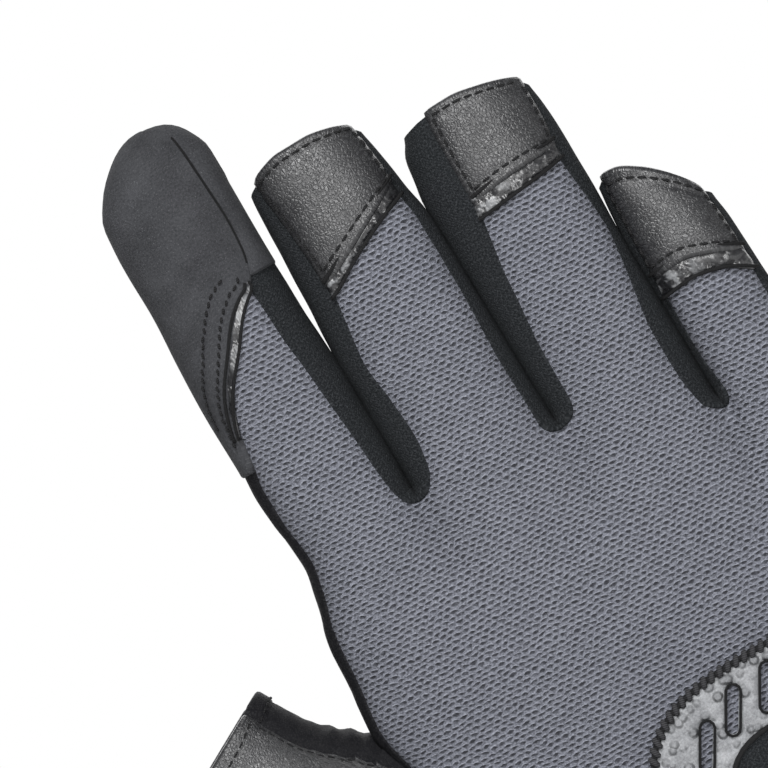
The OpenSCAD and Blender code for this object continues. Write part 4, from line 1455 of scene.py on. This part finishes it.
# Each slot has a dark lip, and the outer edge is overlocked over a cord.
for k, loop in enumerate(slots):
    line = laid(resample(loop, 0.8), low_back, -1, 1.25)
    ride(tube(f"arch_slot_lip_{k + 1}", line, 0.26, BLACK_THREAD, closed=True), "hand")
line = laid(hump(ARCH_HALF + 0.6, ARCH_TOP - ARCH_FOOT + 0.6, 200), low_back, -1, 0.75)
ride(tube("arch_edge_cord", line, 0.55, BLACK_THREAD), "hand", "back_patch_edging")
overlock = [(line + [0, -0.25, 0], np.tile([0.0, -1.0, 0.0], (200, 1)))]
ride(stitches("arch_overlock", overlock, EDGE_THREAD, 1.75, 2.5, 0.62, 1.0, 0.1), "hand")

# Inside the arch there is a panel of black knit, with a cord along the seam.
inner_half, inner_rise = ARCH_HALF - ARCH_BAND, ARCH_TOP - ARCH_FOOT - ARCH_BAND
cloth, loops = cut_cloth(hump(inner_half + 1.2, inner_rise + 1.2), [], 1.2, low_back, -1)
cloth.lift(0.75 + 0.2 * ripple(cloth.v, 6.0, 15.0))
ride(shell("arch_inner_panel", cloth, KNIT, "stretch_knit", 1.0, 0.3), "hand")
line = laid(hump(inner_half, inner_rise, 120), low_back, -1, 1.0)
ride(tube("arch_inner_cord", line, 0.5, BLACK_THREAD), "hand")


def pad_outline(x0, x1, z0, z1, r, lean):
    """A rounded rectangle that leans, as x and z."""
    a = np.linspace(0, 2 * math.pi, 80, endpoint=False)
    c, s = np.cos(a), np.sin(a)
    x = np.where(c > 0, x1 - r, x0 + r) + r * c
    z = np.where(s > 0, z1 - r, z0 + r) + r * s
    return np.stack([x, z + lean * x], axis=-1)


def low_palm(x, z):
    """The palm, taken from each finger's own part of the hand."""
    best = np.zeros_like(x)
    for k, f in enumerate(FINGERS):
        left = BETWEEN[k - 1](z) if k else x * 0 - 99
        right = BETWEEN[k](z) if k < 3 else x * 0 + 99
        best = np.where((x >= left) & (x <= right), depth(f, x, z, 1), best)
    return best


SEAM_INSET = 1.8
for node, x0, x1, z0, z1, r, lean in (
    ("palm_pad_upper", -40, 42, 92, 114, 7, -0.02),
    ("palm_pad_heel", 4, 36, 60, 88, 9, 0.0),
):
    cloth, loops = cut_cloth(pad_outline(x0, x1, z0, z1, r, lean), [], 1.3, low_palm, 1)
    rim_d = apart(cloth.v, laid(loops[0], low_palm, 1))
    cloth.lift(1.1 + 0.5 * smooth(0, 6, rim_d) - 0.2 * np.exp(-(((rim_d - 2.0) / 0.5) ** 2)))
    piece = shell(f"{node}_suede", cloth, PAD, "palm_pad", 1.2, 0.4)
    ride(piece, "hand", node)
    i = SEAM_INSET
    line = laid(resample(pad_outline(x0 + i, x1 - i, z0 + i, z1 - i, r - i, lean), 1.0), low_palm, 1, 1.15)
    hand_stitch.append((line, np.tile([0.0, 1.0, 0.0], (len(line), 1))))
ride(stitches("hand_stitches", hand_stitch, GREY_THREAD, 2.3, 1.6, 0.19), "hand")


# ---------------------------------------------------------------- floor, light and camera

bpy.ops.mesh.primitive_circle_add(vertices=128, radius=0.75, fill_type="NGON")
floor = bpy.context.object
floor.name = "floor"
floor.location = (0, 0, -0.0125)
floor.data.materials.append(Nodes("floor", (0.82, 0.82, 0.82), 0.8).material)

AIM = Vector((-0.0191, -0.012, 0.1522))
RIGHT_OF_VIEW = Vector((math.cos(math.radians(31)), 0, -math.sin(math.radians(31))))
UP_OF_VIEW = Vector((math.sin(math.radians(31)), 0, math.cos(math.radians(31))))
VIEW_WIDTH = 0.1396
LENS, SENSOR = 200.0, 36.0
camera = bpy.data.objects.new("camera", bpy.data.cameras.new("camera"))
bpy.context.scene.collection.objects.link(camera)
bpy.context.scene.camera = camera
camera.data.lens = LENS
camera.data.sensor_width = SENSOR
distance = VIEW_WIDTH * LENS / SENSOR
camera.matrix_world = Matrix((
    (RIGHT_OF_VIEW.x, UP_OF_VIEW.x, 0, AIM.x),
    (0, 0, -1, AIM.y - distance),
    (RIGHT_OF_VIEW.z, UP_OF_VIEW.z, 0, AIM.z),
    (0, 0, 0, 1),
))


def area_light(name, where, size, power):
    data = bpy.data.lights.new(name, "AREA")
    data.size = size
    data.energy = power
    lamp = bpy.data.objects.new(name, data)
    bpy.context.scene.collection.objects.link(lamp)
    lamp.location = where
    lamp.rotation_euler = (AIM - Vector(where)).to_track_quat("-Z", "Y").to_euler()


area_light("key", AIM + UP_OF_VIEW * 0.6 - RIGHT_OF_VIEW * 0.4 + Vector((0, -0.65, 0)), 0.35, 12)
area_light("front", AIM + UP_OF_VIEW * 0.2 + RIGHT_OF_VIEW * 0.05 + Vector((0, -1.0, 0)), 0.4, 9)
area_light("behind", AIM + Vector((0.1, 1.5, 0.5)), 2.4, 42)

bpy.context.scene.view_settings.view_transform = "Standard"
world = bpy.data.worlds.new("studio")
bpy.context.scene.world = world
world.use_nodes = True
sky = world.node_tree
backdrop = sky.nodes["Background"]
backdrop.inputs["Color"].default_value = (1, 1, 1, 1)
backdrop.inputs["Strength"].default_value = 1.0
ambient = sky.nodes.new("ShaderNodeBackground")
ambient.inputs["Color"].default_value = (0.97, 0.98, 1, 1)
ambient.inputs["Strength"].default_value = 0.22
ray = sky.nodes.new("ShaderNodeLightPath")
choose = sky.nodes.new("ShaderNodeMixShader")
sky.links.new(ray.outputs["Is Camera Ray"], choose.inputs[0])
sky.links.new(ambient.outputs[0], choose.inputs[1])
sky.links.new(backdrop.outputs[0], choose.inputs[2])
sky.links.new(choose.outputs[0], sky.nodes["World Output"].inputs["Surface"])
